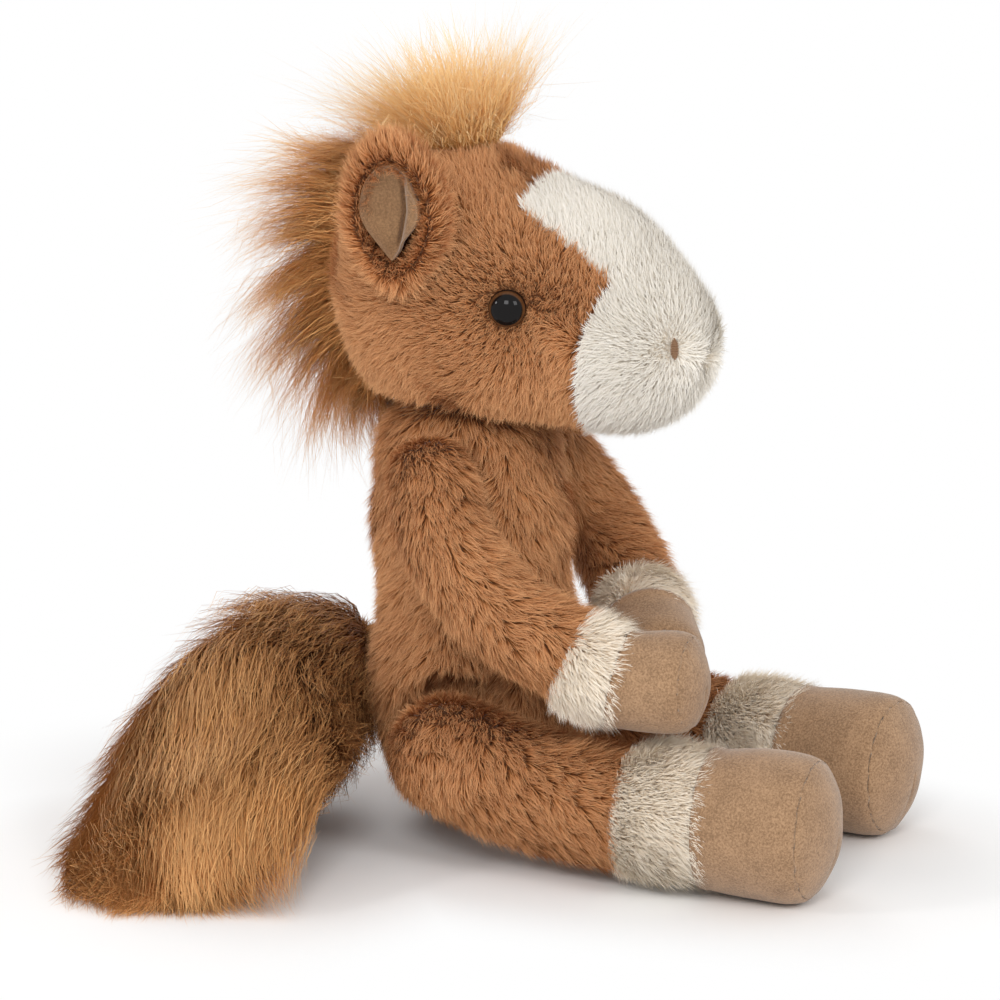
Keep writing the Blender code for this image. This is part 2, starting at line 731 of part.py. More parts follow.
def build_torso(materials):
    hub = np.array((0, CHEST_SETBACK, (chest_height() + BELLY_HALF_HEIGHT) / 2))
    opening = math.degrees(math.atan2(neck_opening_radius(),
                                      NECK_PIVOT_HEIGHT + NECK_DOME_RADIUS - hub[2]))
    polar = spread((0, SEAT_SEAM_ANGLE, 180 - opening, 180),
                   (SEAT_RINGS, TORSO_RINGS - SEAT_RINGS, 1))
    around = spread((0, BELLY_SEAM_ANGLE, 180), (BELLY_SEGMENTS, BACK_SEGMENTS))
    around = np.concatenate([around, 360 - around[-2:0:-1]])
    directions = radial_directions(polar, around, np.array((0, 0, -1.0)), np.array((0, -1.0, 0)))
    outer, inner = (reach(torso_field, hub, directions, depth) for depth in (0, PILE_SKIN))
    core = reach(torso_field, hub, directions, PILE_SKIN + STUFFING_GAP)
    top = TORSO_RINGS
    half = BELLY_SEGMENTS + BACK_SEGMENTS

    def on_belly(ring, segment):
        forward = segment < BELLY_SEGMENTS or segment >= 2 * half - BELLY_SEGMENTS
        return ring < top and (forward or ring < SEAT_RINGS)

    def on_back(first, last):
        return lambda ring, segment: SEAT_RINGS <= ring < top and first <= segment < last

    brown = materials["brown_plush"]
    pieces = [panel("torso_belly_panel", outer, inner, on_belly, brown),
              panel("torso_back_right", outer, inner, on_back(BELLY_SEGMENTS, half), brown),
              panel("torso_back_left", outer, inner,
                    on_back(half, 2 * half - BELLY_SEGMENTS), brown)]
    press_flat(pieces[0])
    for (side, word), back in zip(SIDES, pieces[1:]):
        pocket = shoulder_pocket(f"shoulder_{word}_cutter", side)
        cut(pieces[0], pocket)
        cut(back, pocket)
    stuffing = closed_form("torso_stuffing", core, materials["stuffing"])
    socket = neck_socket()
    cut(stuffing, socket)


def shoulder_pocket(name, side):
    """The round hollow in the torso's side in which the top of an arm turns."""
    rows = arc(ARM_RADIUS + SHOULDER_GAP, 0, 0, 180, BALL_STEPS)
    return as_cutter(stand(turned(name, rows, None), shoulder(side), (0, 0, 1)))


def neck_opening_radius():
    """How wide the neck opening is where the stem leans furthest."""
    lean = math.radians(NECK_NOD_ANGLE)
    return NECK_DOME_RADIUS * math.sin(lean) + NECK_STEM_RADIUS + JOINT_GAP


def neck_socket():
    """The hollow in the torso's stuffing in which the ball of the neck turns."""
    radius = NECK_BALL_RADIUS + JOINT_GAP
    mouth = neck_opening_radius() - SEAM_GAP
    waist = math.degrees(math.asin((NECK_STEM_RADIUS + JOINT_GAP) / radius)) + NECK_NOD_ANGLE
    rows = arc(radius, 0, 0, 180 - waist, BALL_STEPS)
    rows.append((mouth, NECK_DOME_RADIUS))
    rows.append((mouth, NECK_DOME_RADIUS + CUT_OVERRUN))
    rows.append((0, NECK_DOME_RADIUS + CUT_OVERRUN))
    return as_cutter(stand(turned("neck_socket_cutter", rows, None), neck_pivot(), (0, 0, 1)))


def build_neck(materials):
    meeting = math.degrees(math.asin(NECK_STEM_RADIUS / NECK_BALL_RADIUS))
    rows = arc(NECK_BALL_RADIUS, 0, 0, 180 - meeting, BALL_STEPS)
    rows.append((NECK_STEM_RADIUS, NECK_STEM_LENGTH))
    rows.append((0, NECK_STEM_LENGTH))
    roll = turned("neck_roll", rows, materials["stuffing"])
    return stand(roll, neck_pivot(), (0, 0, 1))


def neck_bore():
    """The hole in the head into which the stem of the neck reaches."""
    radius = NECK_STEM_RADIUS + JOINT_GAP / 2
    top = NECK_STEM_LENGTH + SEAM_GAP
    rows = [(0, 0), (radius, 0), (radius, top), (0, top)]
    return as_cutter(stand(turned("neck_bore_cutter", rows, None), neck_pivot(), (0, 0, 1)))


def head_grids():
    tilt = math.radians(MUZZLE_TILT)
    pole = np.array((0, -math.cos(tilt), -math.sin(tilt)))
    up = np.array((0, -math.sin(tilt), math.cos(tilt)))
    polar = spread((0, MUZZLE_SEAM_ANGLE, BLAZE_END_ANGLE, 180),
                   (MUZZLE_RINGS, BLAZE_RINGS, CROWN_RINGS))
    seam = np.interp(polar, (MUZZLE_SEAM_ANGLE, BLAZE_END_ANGLE),
                     (BRIDGE_HALF_ANGLE, BLAZE_HALF_ANGLE))
    around = [spread((0, edge, 180), (BLAZE_SEGMENTS, CHEEK_SEGMENTS)) for edge in seam]
    around = np.array([np.concatenate([row, 360 - row[-2:0:-1]]) for row in around])
    directions = radial_directions(polar, around, pole, up)
    depths = (0, PILE_SKIN, PILE_SKIN + STUFFING_GAP)
    return [reach(head_field, head_hub(), directions, depth) for depth in depths]


def build_head(materials):
    outer, inner, core = head_grids()
    half = BLAZE_SEGMENTS + CHEEK_SEGMENTS
    blaze_end = MUZZLE_RINGS + BLAZE_RINGS

    def on_blaze(ring, segment):
        near_top = segment < BLAZE_SEGMENTS or segment >= 2 * half - BLAZE_SEGMENTS
        return ring < MUZZLE_RINGS or (near_top and ring < blaze_end)

    def on_side(first, last):
        return lambda ring, segment: first <= segment < last and not on_blaze(ring, segment)

    brown = materials["brown_plush"]
    sides = {-1: panel("head_side_right", outer, inner, on_side(0, half), brown),
             1: panel("head_side_left", outer, inner, on_side(half, 2 * half), brown)}
    blaze = panel("head_blaze_muzzle", outer, inner, on_blaze, materials["cream_plush"])
    stuffing = closed_form("head_stuffing", core, materials["stuffing"])
    bore = neck_bore()
    for piece in (*sides.values(), stuffing):
        cut(piece, bore)
    return sides, blaze, [stuffing, blaze, *sides.values(), bore]


def eye_place(side):
    """Where an eye's post meets the head, and which way the eye looks."""
    aim = mirrored(direction(EYE_TURN, EYE_LIFT), side)
    point = reach(head_field, head_hub(), aim)
    return point, outward(head_field, point)


def build_eye(name, side, skin, stuffing, materials):
    point, axis = eye_place(side)
    dome = [(EYE_RADIUS * math.cos(angle), EYE_DOME_HEIGHT * math.sin(angle))
            for angle in np.radians(EYE_DOME_ANGLES)]
    rows = [(0, -EYE_RIM_DEPTH - EYE_POST_LENGTH), (EYE_POST_RADIUS, -EYE_RIM_DEPTH - EYE_POST_LENGTH),
            (EYE_POST_RADIUS, -EYE_RIM_DEPTH), (EYE_RADIUS, -EYE_RIM_DEPTH), *dome,
            (0, EYE_DOME_HEIGHT)]
    seat = point - axis * EYE_SINK
    eye = stand(turned(name, rows, materials["black_plastic"]), seat + axis * EYE_RIM_DEPTH, axis)
    hole = EYE_POST_RADIUS + EYE_SETTING_GAP
    pocket = EYE_RADIUS + EYE_SETTING_GAP
    setting = [(0, -PILE_SKIN - CUT_OVERRUN), (hole, -PILE_SKIN - CUT_OVERRUN),
               (hole, -SEAM_GAP), (pocket, -SEAM_GAP), (pocket, CUT_OVERRUN), (0, CUT_OVERRUN)]
    setting = as_cutter(stand(turned(f"{name}_setting_cutter", setting, None), seat, axis))
    cut(skin, setting)
    back = point - axis * (PILE_SKIN + WASHER_SETBACK + WASHER_THICKNESS)
    ring = [(hole, 0), (WASHER_RADIUS, 0), (WASHER_RADIUS, WASHER_THICKNESS),
            (hole, WASHER_THICKNESS)]
    washer = stand(turned(f"{name}_washer", ring, materials["white_plastic"]), back, axis)
    room = WASHER_RADIUS + EYE_SETTING_GAP
    depth = EYE_POST_LENGTH + EYE_SETTING_GAP - PILE_SKIN + EYE_SINK
    hollow = [(0, -depth), (room, -depth), (room, PILE_SKIN), (0, PILE_SKIN)]
    hollow = as_cutter(stand(turned(f"{name}_room_cutter", hollow, None), back, axis))
    cut(stuffing, hollow)
    return [eye, washer, setting, hollow]


def build_nostril(name, side, muzzle, materials):
    aim = Vector(mirrored(direction(NOSTRIL_TURN, NOSTRIL_LIFT), side))
    hub = Vector(cranium_centre()) - Vector((0, MUZZLE_REACH, MUZZLE_DROP))
    faces = [face.vertices for face in muzzle.data.polygons]
    cloth = BVHTree.FromPolygons([vertex.co for vertex in muzzle.data.vertices], faces)
    point, axis, _, _ = cloth.ray_cast(hub + aim * (MUZZLE_HALF_LENGTH + CUT_OVERRUN), -aim)
    pad = turned(name, NOSTRIL_SHARES, materials["tan_thread"], NOSTRIL_SEGMENTS)
    pad.data.transform(Matrix.Diagonal((NOSTRIL_HALF_WIDTH, NOSTRIL_HALF_HEIGHT,
                                        NOSTRIL_THICKNESS, 1)))
    upright = Vector((0, 0, 1)) - axis * axis.z
    upright.normalize()
    turn = Matrix((upright.cross(axis), upright, axis)).transposed().to_4x4()
    pad.data.transform(Matrix.Translation(point + axis * SEAT_GAP) @ turn)
    return [pad]


def ear_grid(shares, inset, lift):
    """Rings of an ear in its own frame: across, up and facing. It narrows towards its base."""
    around = 2 * math.pi * np.arange(EAR_SEGMENTS) / EAR_SEGMENTS
    grid = []
    for wide, proud in shares:
        size = wide * (1 - inset)
        low = np.clip(-np.sin(around) * size, 0, 1)
        across = np.cos(around) * size * EAR_HALF_WIDTH * (1 - EAR_POINT_SHARE * low ** 2)
        up = np.sin(around) * size * EAR_HALF_HEIGHT
        facing = np.full(EAR_SEGMENTS, proud * EAR_HALF_THICKNESS + lift)
        grid.append(np.stack([across, up, facing], axis=-1))
    return np.array(grid)


def ear_leaf():
    return ear_grid(EAR_HOLLOW_SHARES + EAR_BACK_SHARES, 0, 0)


def ear_lining():
    """A bowl of velour that follows the hollow of the leaf."""
    hollow = EAR_HOLLOW_SHARES[:LINING_RINGS]
    back = ear_grid(hollow, LINING_INSET_SHARE, SEAT_GAP)
    front = ear_grid(hollow, 2 * LINING_INSET_SHARE, SEAT_GAP + LINING_THICKNESS)
    return np.concatenate([front, back[::-1]])


def ear_frame(side):
    """The middle of an ear, and its across, up and facing directions as rows."""
    base = reach(head_body, head_hub(), mirrored(direction(EAR_TURN, EAR_LIFT), side))
    lean_back = math.radians(RIGHT_EAR_LEAN_BACK if side < 0 else LEFT_EAR_LEAN_BACK)
    lean_out = math.radians(EAR_LEAN_OUT)
    up = np.array((side * math.sin(lean_out), math.cos(lean_out) * math.sin(lean_back),
                   math.cos(lean_out) * math.cos(lean_back)))
    facing = mirrored(direction(EAR_FACING, 0), side)
    facing = facing - up * (facing @ up)
    facing /= np.linalg.norm(facing)
    turn = np.stack([np.cross(up, facing), up, facing])
    middle = base + up * EAR_HALF_HEIGHT
    leaf = ear_leaf()
    while head_body(leaf @ turn + middle).min() < EAR_GAP:
        middle = middle + facing * EAR_GAP / 2
    return middle, turn


def build_ear(name, side, materials):
    middle, turn = ear_frame(side)
    return [closed_form(f"{name}_outer", ear_leaf() @ turn + middle, materials["brown_plush"]),
            closed_form(f"{name}_lining", ear_lining() @ turn + middle, materials["ear_velour"])]


def ear_hinge(side):
    """A point of the seam at which an ear bends, and the direction of that seam."""
    middle, turn = ear_frame(side)
    return middle - turn[1] * (EAR_HALF_HEIGHT - EAR_HINGE_RISE), turn[0]


def build_mane(materials):
    angles = np.linspace(MANE_START_ANGLE, MANE_END_ANGLE, MANE_STEPS + 1)
    half_step = math.radians(abs(angles[1] - angles[0]) / 2)
    sections = []
    for angle, rise in zip(np.radians(angles), MANE_RISE_SHARES):
        aim = np.array((0, math.cos(angle), math.sin(angle)))
        root = reach(head_body, head_hub(), aim)
        root = head_hub() + (root - head_hub()) / math.cos(half_step) + aim * SEAT_GAP
        trail = np.array((0, math.sin(angle), -math.cos(angle))) * MANE_SWEEP
        section = []
        for across, height in MANE_SECTION_SHARES:
            half = MANE_HALF_WIDTH + (MANE_TIP_HALF_WIDTH - MANE_HALF_WIDTH) * height
            lifted = root + (aim * MANE_HEIGHT + trail * height) * height * rise
            section.append(lifted + np.array((across * half, 0, 0)))
        sections.append(section)
    ends = [[np.mean(section, axis=0)] * len(section) for section in (sections[0], sections[-1])]
    return [closed_form("mane", np.array([ends[0], *sections, ends[1]]), materials["long_pile"])]


def build_forelock(materials):
    angle = math.radians(FORELOCK_ANGLE)
    root = reach(head_body, head_hub(), np.array((0, math.cos(angle), math.sin(angle))))
    aim = outward(head_body, root)
    root = root + aim * FORELOCK_STANDOFF
    bend = np.array((0, FORELOCK_SWEEP, 0))
    spine = Spine([root + aim * FORELOCK_HEIGHT * share + bend * share ** 2
                   for share in (0, 0.5, 1)])
    length = spine.lengths[-1]
    rows = [(0, 0), *((length * along, FORELOCK_RADIUS * wide) for along, wide in FORELOCK_SHARES),
            (length, 0)]
    return [closed_form("forelock", swept(spine, rows, FORELOCK_SEGMENTS), materials["long_pile"])]


def tail_root():
    """The hinge point of the tail, just behind the middle of the back."""
    start = np.array((0, 0, TAIL_ROOT_HEIGHT))
    back = reach(torso_field, start, np.array((0, 1.0, 0)))
    return back + np.array((0, TAIL_ROOT_RADIUS + SEAT_GAP, 0))


def tail_spine():
    """The middle of the tail: back from the body, round to the right and down to the floor."""
    root = tail_root()
    tip_half_height = TAIL_HALF_HEIGHT * TAIL_FORM_SHARES[-1][2]
    drop = root[2] - tip_half_height + FLOOR_PRESS
    return Spine([root + np.array((-TAIL_SIDEWAYS * sideways, TAIL_REACH * back, -drop * down))
                  for back, sideways, down in TAIL_SHARES])


def build_tail(materials):
    spine = tail_spine()
    length = spine.lengths[-1] - TAIL_FUR_START
    lengths = [TAIL_FUR_START + length * along for along, _, _ in TAIL_FORM_SHARES]
    widths = [TAIL_HALF_WIDTH * width for _, width, _ in TAIL_FORM_SHARES]
    heights = [TAIL_HALF_HEIGHT * height for _, _, height in TAIL_FORM_SHARES]
    heights = [min(height, spine.at(along)[0][2] + FLOOR_PRESS)
               for height, along in zip(heights, lengths)]
    flatness = [height / width for height, width in zip(heights, widths)]
    rows = [(lengths[0], 0), *zip(lengths, widths), (lengths[0] + length, 0)]
    brush = swept(spine, rows, TAIL_SEGMENTS, [flatness[0], *flatness, flatness[-1]])
    fur = closed_form("tail_fur", brush, materials["long_pile"])
    press_flat(fur)
    steps = np.linspace(TAIL_FUR_START - SEAM_GAP, TAIL_CORE_LENGTH, TAIL_CORE_STEPS + 1)
    bore_radius = TAIL_CORE_RADIUS + STUFFING_GAP
    bore_rows = [(steps[0], 0), *((step, bore_radius) for step in steps),
                 (TAIL_CORE_LENGTH + SEAM_GAP, bore_radius), (TAIL_CORE_LENGTH + SEAM_GAP, 0)]
    bore = as_cutter(closed_form("tail_bore_cutter", swept(spine, bore_rows, LIMB_SEGMENTS), None))
    cut(fur, bore)
    core_rows = [(-TAIL_ROOT_RADIUS * math.cos(angle), TAIL_ROOT_RADIUS * math.sin(angle))
                 for angle in np.linspace(0, math.pi / 2, CAP_RINGS + 1)]
    core_rows += [*((step, TAIL_CORE_RADIUS) for step in steps), (TAIL_CORE_LENGTH, 0)]
    core = closed_form("tail_core", swept(spine, core_rows, LIMB_SEGMENTS),
                       materials["brown_plush"])
    return [fur, core], [bore]


# Joints: the X axis of an empty is each joint's axis, and the pieces that it moves hang from it

def arm_axis(side):
    """The line about which an arm swings up and out."""
    tilt = math.radians(ARM_AXIS_TILT)
    return (-math.cos(tilt), 0, side * math.sin(tilt))


def tail_axis():
    turn = math.radians(TAIL_LIFT_TURN)
    return (math.cos(turn), math.sin(turn), 0)


def hang(joints, name, pivot, axis, parent, pieces):
    turn = Vector((1, 0, 0)).rotation_difference(Vector(axis)).to_matrix().to_4x4()
    place = Matrix.Translation(Vector(pivot)) @ turn
    joint = bpy.data.objects.new(name, None)
    bpy.context.collection.objects.link(joint)
    joint.matrix_basis = place
    if parent:
        joint.matrix_basis = joints[parent][1].inverted() @ place
        joint.parent = joints[parent][0]
    for piece in pieces:
        piece.data.transform(place.inverted())
        piece.parent = joint
    joints[name] = (joint, place)


def make_materials():
    materials = {}
    for name, colour in COLOURS.items():
        material = bpy.data.materials.new(name)
        material.use_nodes = True
        shader = material.node_tree.nodes["Principled BSDF"]
        shader.inputs["Base Color"].default_value = (*colour, 1)
        shader.inputs["Roughness"].default_value = ROUGHNESS.get(name, CLOTH_ROUGHNESS)
        shader.inputs["Metallic"].default_value = 0
        material.diffuse_color = (*colour, 1)
        materials[name] = material
    return materials


def main():
    for item in list(bpy.data.objects):
        bpy.data.objects.remove(item, do_unlink=True)
    materials = make_materials()
    cloth = {"upper": materials["brown_plush"], "cuff": materials["cream_plush"],
             "hoof": materials["tan_velour"], "sole": materials["tan_velour"],
             "stuffing": materials["stuffing"]}
    build_torso(materials)
    neck = build_neck(materials)
    sides, muzzle, head = build_head(materials)
    stuffing = head[0]
    head += build_mane(materials) + build_forelock(materials)
    joints = {}
    ears = {}
    for side, word in SIDES:
        head += build_eye(f"eye_{word}", side, sides[side], stuffing, materials)
        head += build_nostril(f"nostril_{word}", side, muzzle, materials)
        ears[word] = build_ear(f"ear_{word}", side, materials)
    hang(joints, "neck_nod", neck_pivot(), (1, 0, 0), None, [neck])
    hang(joints, "head_turn", neck_pivot(), (0, 0, 1), "neck_nod", head)
    for side, word in SIDES:
        hang(joints, f"ear_{word}_fold", *ear_hinge(side), "head_turn", ears[word])
        spine, rows, seams = arm(side)
        pieces = limb(f"arm_{word}", "upper", spine, rows, seams, cloth)
        hang(joints, f"arm_{word}_swing", shoulder(side), arm_axis(side), None, pieces)
        spine, rows, seams = leg(side)
        pieces = limb(f"leg_{word}", "thigh", spine, rows, seams, cloth)
        hang(joints, f"leg_{word}_swing", hip(side), (1, 0, 0), None, pieces)
    pieces, cutters = build_tail(materials)
    hang(joints, "tail_lift", tail_root(), tail_axis(), None, pieces + cutters)


main()
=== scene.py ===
"""Dresses a stuffed toy horse: pile, velour, glossy eyes and stitching over its sewn panels.

Units are metres, +Z is up, the horse looks along -Y and its right side is at -X.
"""

import json
import logging
import math
from collections.abc import Callable
from dataclasses import dataclass
from enum import Enum
from functools import cache, cached_property

import bmesh
import bpy
import numpy as np
from mathutils import Matrix, Vector


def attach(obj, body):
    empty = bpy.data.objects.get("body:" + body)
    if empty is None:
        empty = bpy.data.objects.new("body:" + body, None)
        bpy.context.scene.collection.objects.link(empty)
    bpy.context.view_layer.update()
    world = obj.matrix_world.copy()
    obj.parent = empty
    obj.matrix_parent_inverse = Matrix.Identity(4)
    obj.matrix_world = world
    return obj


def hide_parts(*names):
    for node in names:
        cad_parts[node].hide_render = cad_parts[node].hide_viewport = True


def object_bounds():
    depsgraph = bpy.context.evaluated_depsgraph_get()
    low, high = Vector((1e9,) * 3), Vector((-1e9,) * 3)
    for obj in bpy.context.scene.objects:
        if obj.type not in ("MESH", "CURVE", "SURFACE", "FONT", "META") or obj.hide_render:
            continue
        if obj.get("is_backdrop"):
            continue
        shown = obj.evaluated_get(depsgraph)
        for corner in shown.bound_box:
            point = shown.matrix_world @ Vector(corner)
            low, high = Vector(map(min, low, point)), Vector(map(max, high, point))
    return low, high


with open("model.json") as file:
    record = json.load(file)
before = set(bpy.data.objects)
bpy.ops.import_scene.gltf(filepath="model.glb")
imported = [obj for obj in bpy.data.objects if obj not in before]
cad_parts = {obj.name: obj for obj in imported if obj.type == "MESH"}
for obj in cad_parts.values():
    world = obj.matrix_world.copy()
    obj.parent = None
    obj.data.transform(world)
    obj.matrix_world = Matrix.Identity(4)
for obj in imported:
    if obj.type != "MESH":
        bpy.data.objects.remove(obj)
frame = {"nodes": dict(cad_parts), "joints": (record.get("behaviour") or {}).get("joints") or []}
CAD_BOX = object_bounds()

LOG = logging.getLogger("horse")
Colour = tuple[float, float, float]
Field = Callable[[np.ndarray], np.ndarray]


class Named(Enum):
    """A choice whose name is a word in the names of pieces."""

    @property
    def word(self) -> str:
        """That word."""
        return self.name.lower()


class Side(Named):
    """A side of the horse, by the sign of X there."""

    RIGHT = -1
    LEFT = 1


class Limb(Named):
    """A kind of limb, by the name that its upper part has."""

    ARM = "upper"
    LEG = "thigh"


# Node trees: plain nodes from one method, and sums written as expressions


def operator(operation: str, swapped: bool = False) -> Callable[["Wire", object], "Wire"]:
    """A method that adds the node of one operator.

    Args:
        operation: The node's operation.
        swapped: Whether the output is the second of the two values.

    Returns:
        The method.
    """
    def method(wire: "Wire", other: object) -> "Wire":
        """The node's result."""
        return wire.plan.maths(operation, *((other, wire) if swapped else (wire, other)))
    return method


@dataclass(eq=False)
class Wire:
    """One output of a node. Its sums and products are written as Python expressions."""

    plan: "Plan"
    socket: bpy.types.NodeSocket

    __add__ = operator("ADD")
    __radd__ = operator("ADD", swapped=True)
    __sub__ = operator("SUBTRACT")
    __rsub__ = operator("SUBTRACT", swapped=True)
    __mul__ = operator("MULTIPLY")
    __rmul__ = operator("MULTIPLY", swapped=True)
    __truediv__ = operator("DIVIDE")
    __rtruediv__ = operator("DIVIDE", swapped=True)
    __pow__ = operator("POWER")

    def maths(self, operation: str, *others: object, output: int = 0) -> "Wire":
        """The result of a maths node whose first input this is."""
        return self.plan.maths(operation, self, *others, output=output)

    def clamped(self, low: float, high: float) -> "Wire":
        """The value held between two limits."""
        return self.maths("MINIMUM", high).maths("MAXIMUM", low)


@dataclass
class Placed:
    """A node in a tree, whose outputs are picked by name or number."""

    plan: "Plan"
    node: bpy.types.Node

    def __getitem__(self, key: str | int) -> Wire:
        """One of the node's outputs."""
        return Wire(self.plan, self.node.outputs[key])


@dataclass
class Plan:
    """A node tree and the one method that adds nodes to it."""

    tree: bpy.types.NodeTree

    def node(self, kind: str, settings: dict | None = None, sockets: dict | None = None) -> Placed:
        """Adds a node.

        Args:
            kind: The node's type.
            settings: Its settings, which are set first. The stops of a ramp are pairs of a
                place and a colour.
            sockets: The values or outputs that its inputs get, by name or number.

        Returns:
            The placed node.
        """
        node = self.tree.nodes.new(kind)
        for name, value in (settings or {}).items():
            if name == "stops":
                self.fill_ramp(node.color_ramp, value)
            else:
                setattr(node, name, value)
        self.fill(node, sockets or {})
        return Placed(self, node)

    def fill(self, node: bpy.types.Node, sockets: dict) -> None:
        """Sets or links a node's inputs.

        Args:
            node: The node.
            sockets: The values or outputs that its inputs get, by name or number.
        """
        for key, value in sockets.items():
            socket = node.inputs[key]
            if isinstance(value, Wire):
                self.tree.links.new(value.socket, socket)
            elif socket.type == "VECTOR" and isinstance(value, (int, float)):
                socket.default_value = (value, value, value)
            else:
                socket.default_value = value

    def maths(self, operation: str, *values: object, output: int = 0) -> Wire:
        """Adds one Math node, or a Vector Math node where a value is a vector.

        Args:
            operation: The node's operation.
            values: Its inputs in order, as outputs or numbers.
            output: Which output is wanted: 1 is the number that a vector gives.

        Returns:
            That output.
        """
        kinds = {value.socket.type for value in values if isinstance(value, Wire)}
        kind = "ShaderNodeVectorMath" if kinds & {"VECTOR", "RGBA"} else "ShaderNodeMath"
        return self.node(kind, {"operation": operation}, dict(enumerate(values)))[output]

    def vector(self, **parts: object) -> Wire:
        """A vector from its X, Y and Z."""
        return self.node("ShaderNodeCombineXYZ", {}, parts)["Vector"]

    def noise(self, place: Wire, size: float, detail: float = 2.0,
              roughness: float = 0.5) -> Wire:
        """Noise from 0 to 1 whose features have about a size, in metres."""
        return self.node("ShaderNodeTexNoise", {},
                         {"Vector": place, "Scale": 1 / size, "Detail": detail,
                          "Roughness": roughness})["Fac"]

    def mixed(self, share: Wire, low: Colour | Wire, high: Colour | Wire) -> Wire:
        """A colour between two."""
        low, high = (value if isinstance(value, Wire) else (*value, 1) for value in (low, high))
        return self.node("ShaderNodeMix", {"data_type": "RGBA"}, {0: share, 6: low, 7: high})[2]

    def step(self, value: Wire, start: float, end: float) -> Wire:
        """A smooth step from 0 at the start to 1 at the end."""
        return self.node("ShaderNodeMapRange", {"interpolation_type": "SMOOTHSTEP"},
                         {"Value": value, "From Min": start, "From Max": end})[0]

    def seen(self) -> Wire:
        """1 for what the camera, a mirror or glass shows, and 0 for light that falls."""
        path = self.node("ShaderNodeLightPath")
        return (path["Is Camera Ray"] + path["Is Glossy Ray"]
                + path["Is Transmission Ray"]).clamped(0, 1)

    @staticmethod
    def fill_ramp(ramp: bpy.types.ColorRamp, stops: list[tuple[float, Colour]]) -> None:
        """Sets the stops of a colour ramp.

        Args:
            ramp: The ramp.
            stops: Pairs of a place and a colour.
        """
        while len(ramp.elements) < len(stops):
            ramp.elements.new(1)
        for element, (place, colour) in zip(ramp.elements, stops):
            element.position = place
            element.color = (*colour, 1)


def new_group(name: str, inputs: dict[str, tuple[str, ...]]) -> Plan:
    """Starts a Geometry Nodes group that takes and gives a geometry.

    Args:
        name: Its name.
        inputs: The names of its other inputs, by their type.

    Returns:
        The plan of its nodes.
    """
    tree = bpy.data.node_groups.new(name, "GeometryNodeTree")
    for way in ("INPUT", "OUTPUT"):
        tree.interface.new_socket("Geometry", in_out=way, socket_type="NodeSocketGeometry")
    for kind, labels in inputs.items():
        for label in labels:
            tree.interface.new_socket(label, in_out="INPUT", socket_type=f"NodeSocket{kind}")
    return Plan(tree)


def linked(name: str, data: bpy.types.ID) -> bpy.types.Object:
    """A new object in the scene."""
    thing = bpy.data.objects.new(name, data)
    bpy.context.scene.collection.objects.link(thing)
    return thing


def run_tree(obj: bpy.types.Object, tree: bpy.types.NodeTree, sizes: object,
             values: dict[str, object], name: str) -> bpy.types.Object:
    """Runs a Geometry Nodes tree on an object and keeps the result as a plain mesh.

    Args:
        obj: The object that the tree reads, which is removed afterwards.
        tree: The tree.
        sizes: The object whose fields are inputs, by the same names.
        values: What the other inputs get, by name.
        name: The name of the new object.

    Returns:
        The new object, with no modifier.
    """
    values = values | {field.replace("_", " ").title(): value
                       for field, value in vars(sizes).items()}
    modifier = obj.modifiers.new("nodes", "NODES")
    modifier.node_group = tree
    for item in tree.interface.items_tree:
        if item.item_type == "SOCKET" and item.name in values:
            modifier[item.identifier] = values[item.name]
    graph = bpy.context.evaluated_depsgraph_get()
    mesh = bpy.data.meshes.new_from_object(obj.evaluated_get(graph), depsgraph=graph)
    mesh.name = name
    bpy.data.objects.remove(obj, do_unlink=True)
    return linked(name, mesh)


# Forms: signed distances, and grids of points in rings round them


def size_of(vectors: np.ndarray) -> np.ndarray:
    """How long vectors are."""
    return np.linalg.norm(vectors, axis=-1)


def ellipsoid(points: np.ndarray, centre: np.ndarray, halves: tuple) -> np.ndarray:
    """The distance to an ellipsoid, by its centre and half sizes."""
    offset = points - centre
    scaled = size_of(offset / halves)
    slope = size_of(offset / np.square(halves)) + 1e-9
    return scaled * (scaled - 1) / slope


def ball(points: np.ndarray, centre: np.ndarray, radius: float | np.ndarray) -> np.ndarray:
    """The distance to a ball."""
    return size_of(points - centre) - radius


def blend_union(first: np.ndarray, second: np.ndarray, width: float) -> np.ndarray:
    """Two forms joined with a soft valley between them."""
    share = np.clip(0.5 + 0.5 * (second - first) / width, 0, 1)
    return second + (first - second) * share - width * share * (1 - share)


def blend_cut(form: np.ndarray, cutter: np.ndarray, width: float) -> np.ndarray:
    """A form with another one pressed into it."""
    return -blend_union(-form, cutter, width)


def unit(vectors: np.ndarray) -> np.ndarray:
    """Vectors made one long."""
    return vectors / np.maximum(np.linalg.norm(vectors, axis=-1, keepdims=True), 1e-12)


def bearing(turn: float, lift: float) -> np.ndarray:
    """The direction at angles in degrees from straight ahead: to the left, and up."""
    turn, lift = math.radians(turn), math.radians(lift)
    return np.array((math.sin(turn) * math.cos(lift), -math.cos(turn) * math.cos(lift),
                     math.sin(lift)))


def pressed(points: np.ndarray, lowest: float = 0) -> np.ndarray:
    """Points with what lies below a height pressed flat."""
    return np.maximum(points, (-1, -1, lowest))


def profile(lengths: np.ndarray, radii: np.ndarray | float) -> np.ndarray:
    """Rows of a length and a radius."""
    return np.stack([lengths, np.broadcast_to(radii, len(lengths))], 1)


def cap_rows(radius: float, count: int) -> np.ndarray:
    """The rows of a round cap, up to where it is widest."""
    angles = np.linspace(0, math.pi / 2, count)
    return profile(-radius * np.cos(angles), radius * np.sin(angles))


def tangent(vectors: np.ndarray, normals: np.ndarray) -> np.ndarray:
    """Directions laid flat on a surface, one long."""
    return unit(vectors - normals * (vectors * normals).sum(-1, keepdims=True))


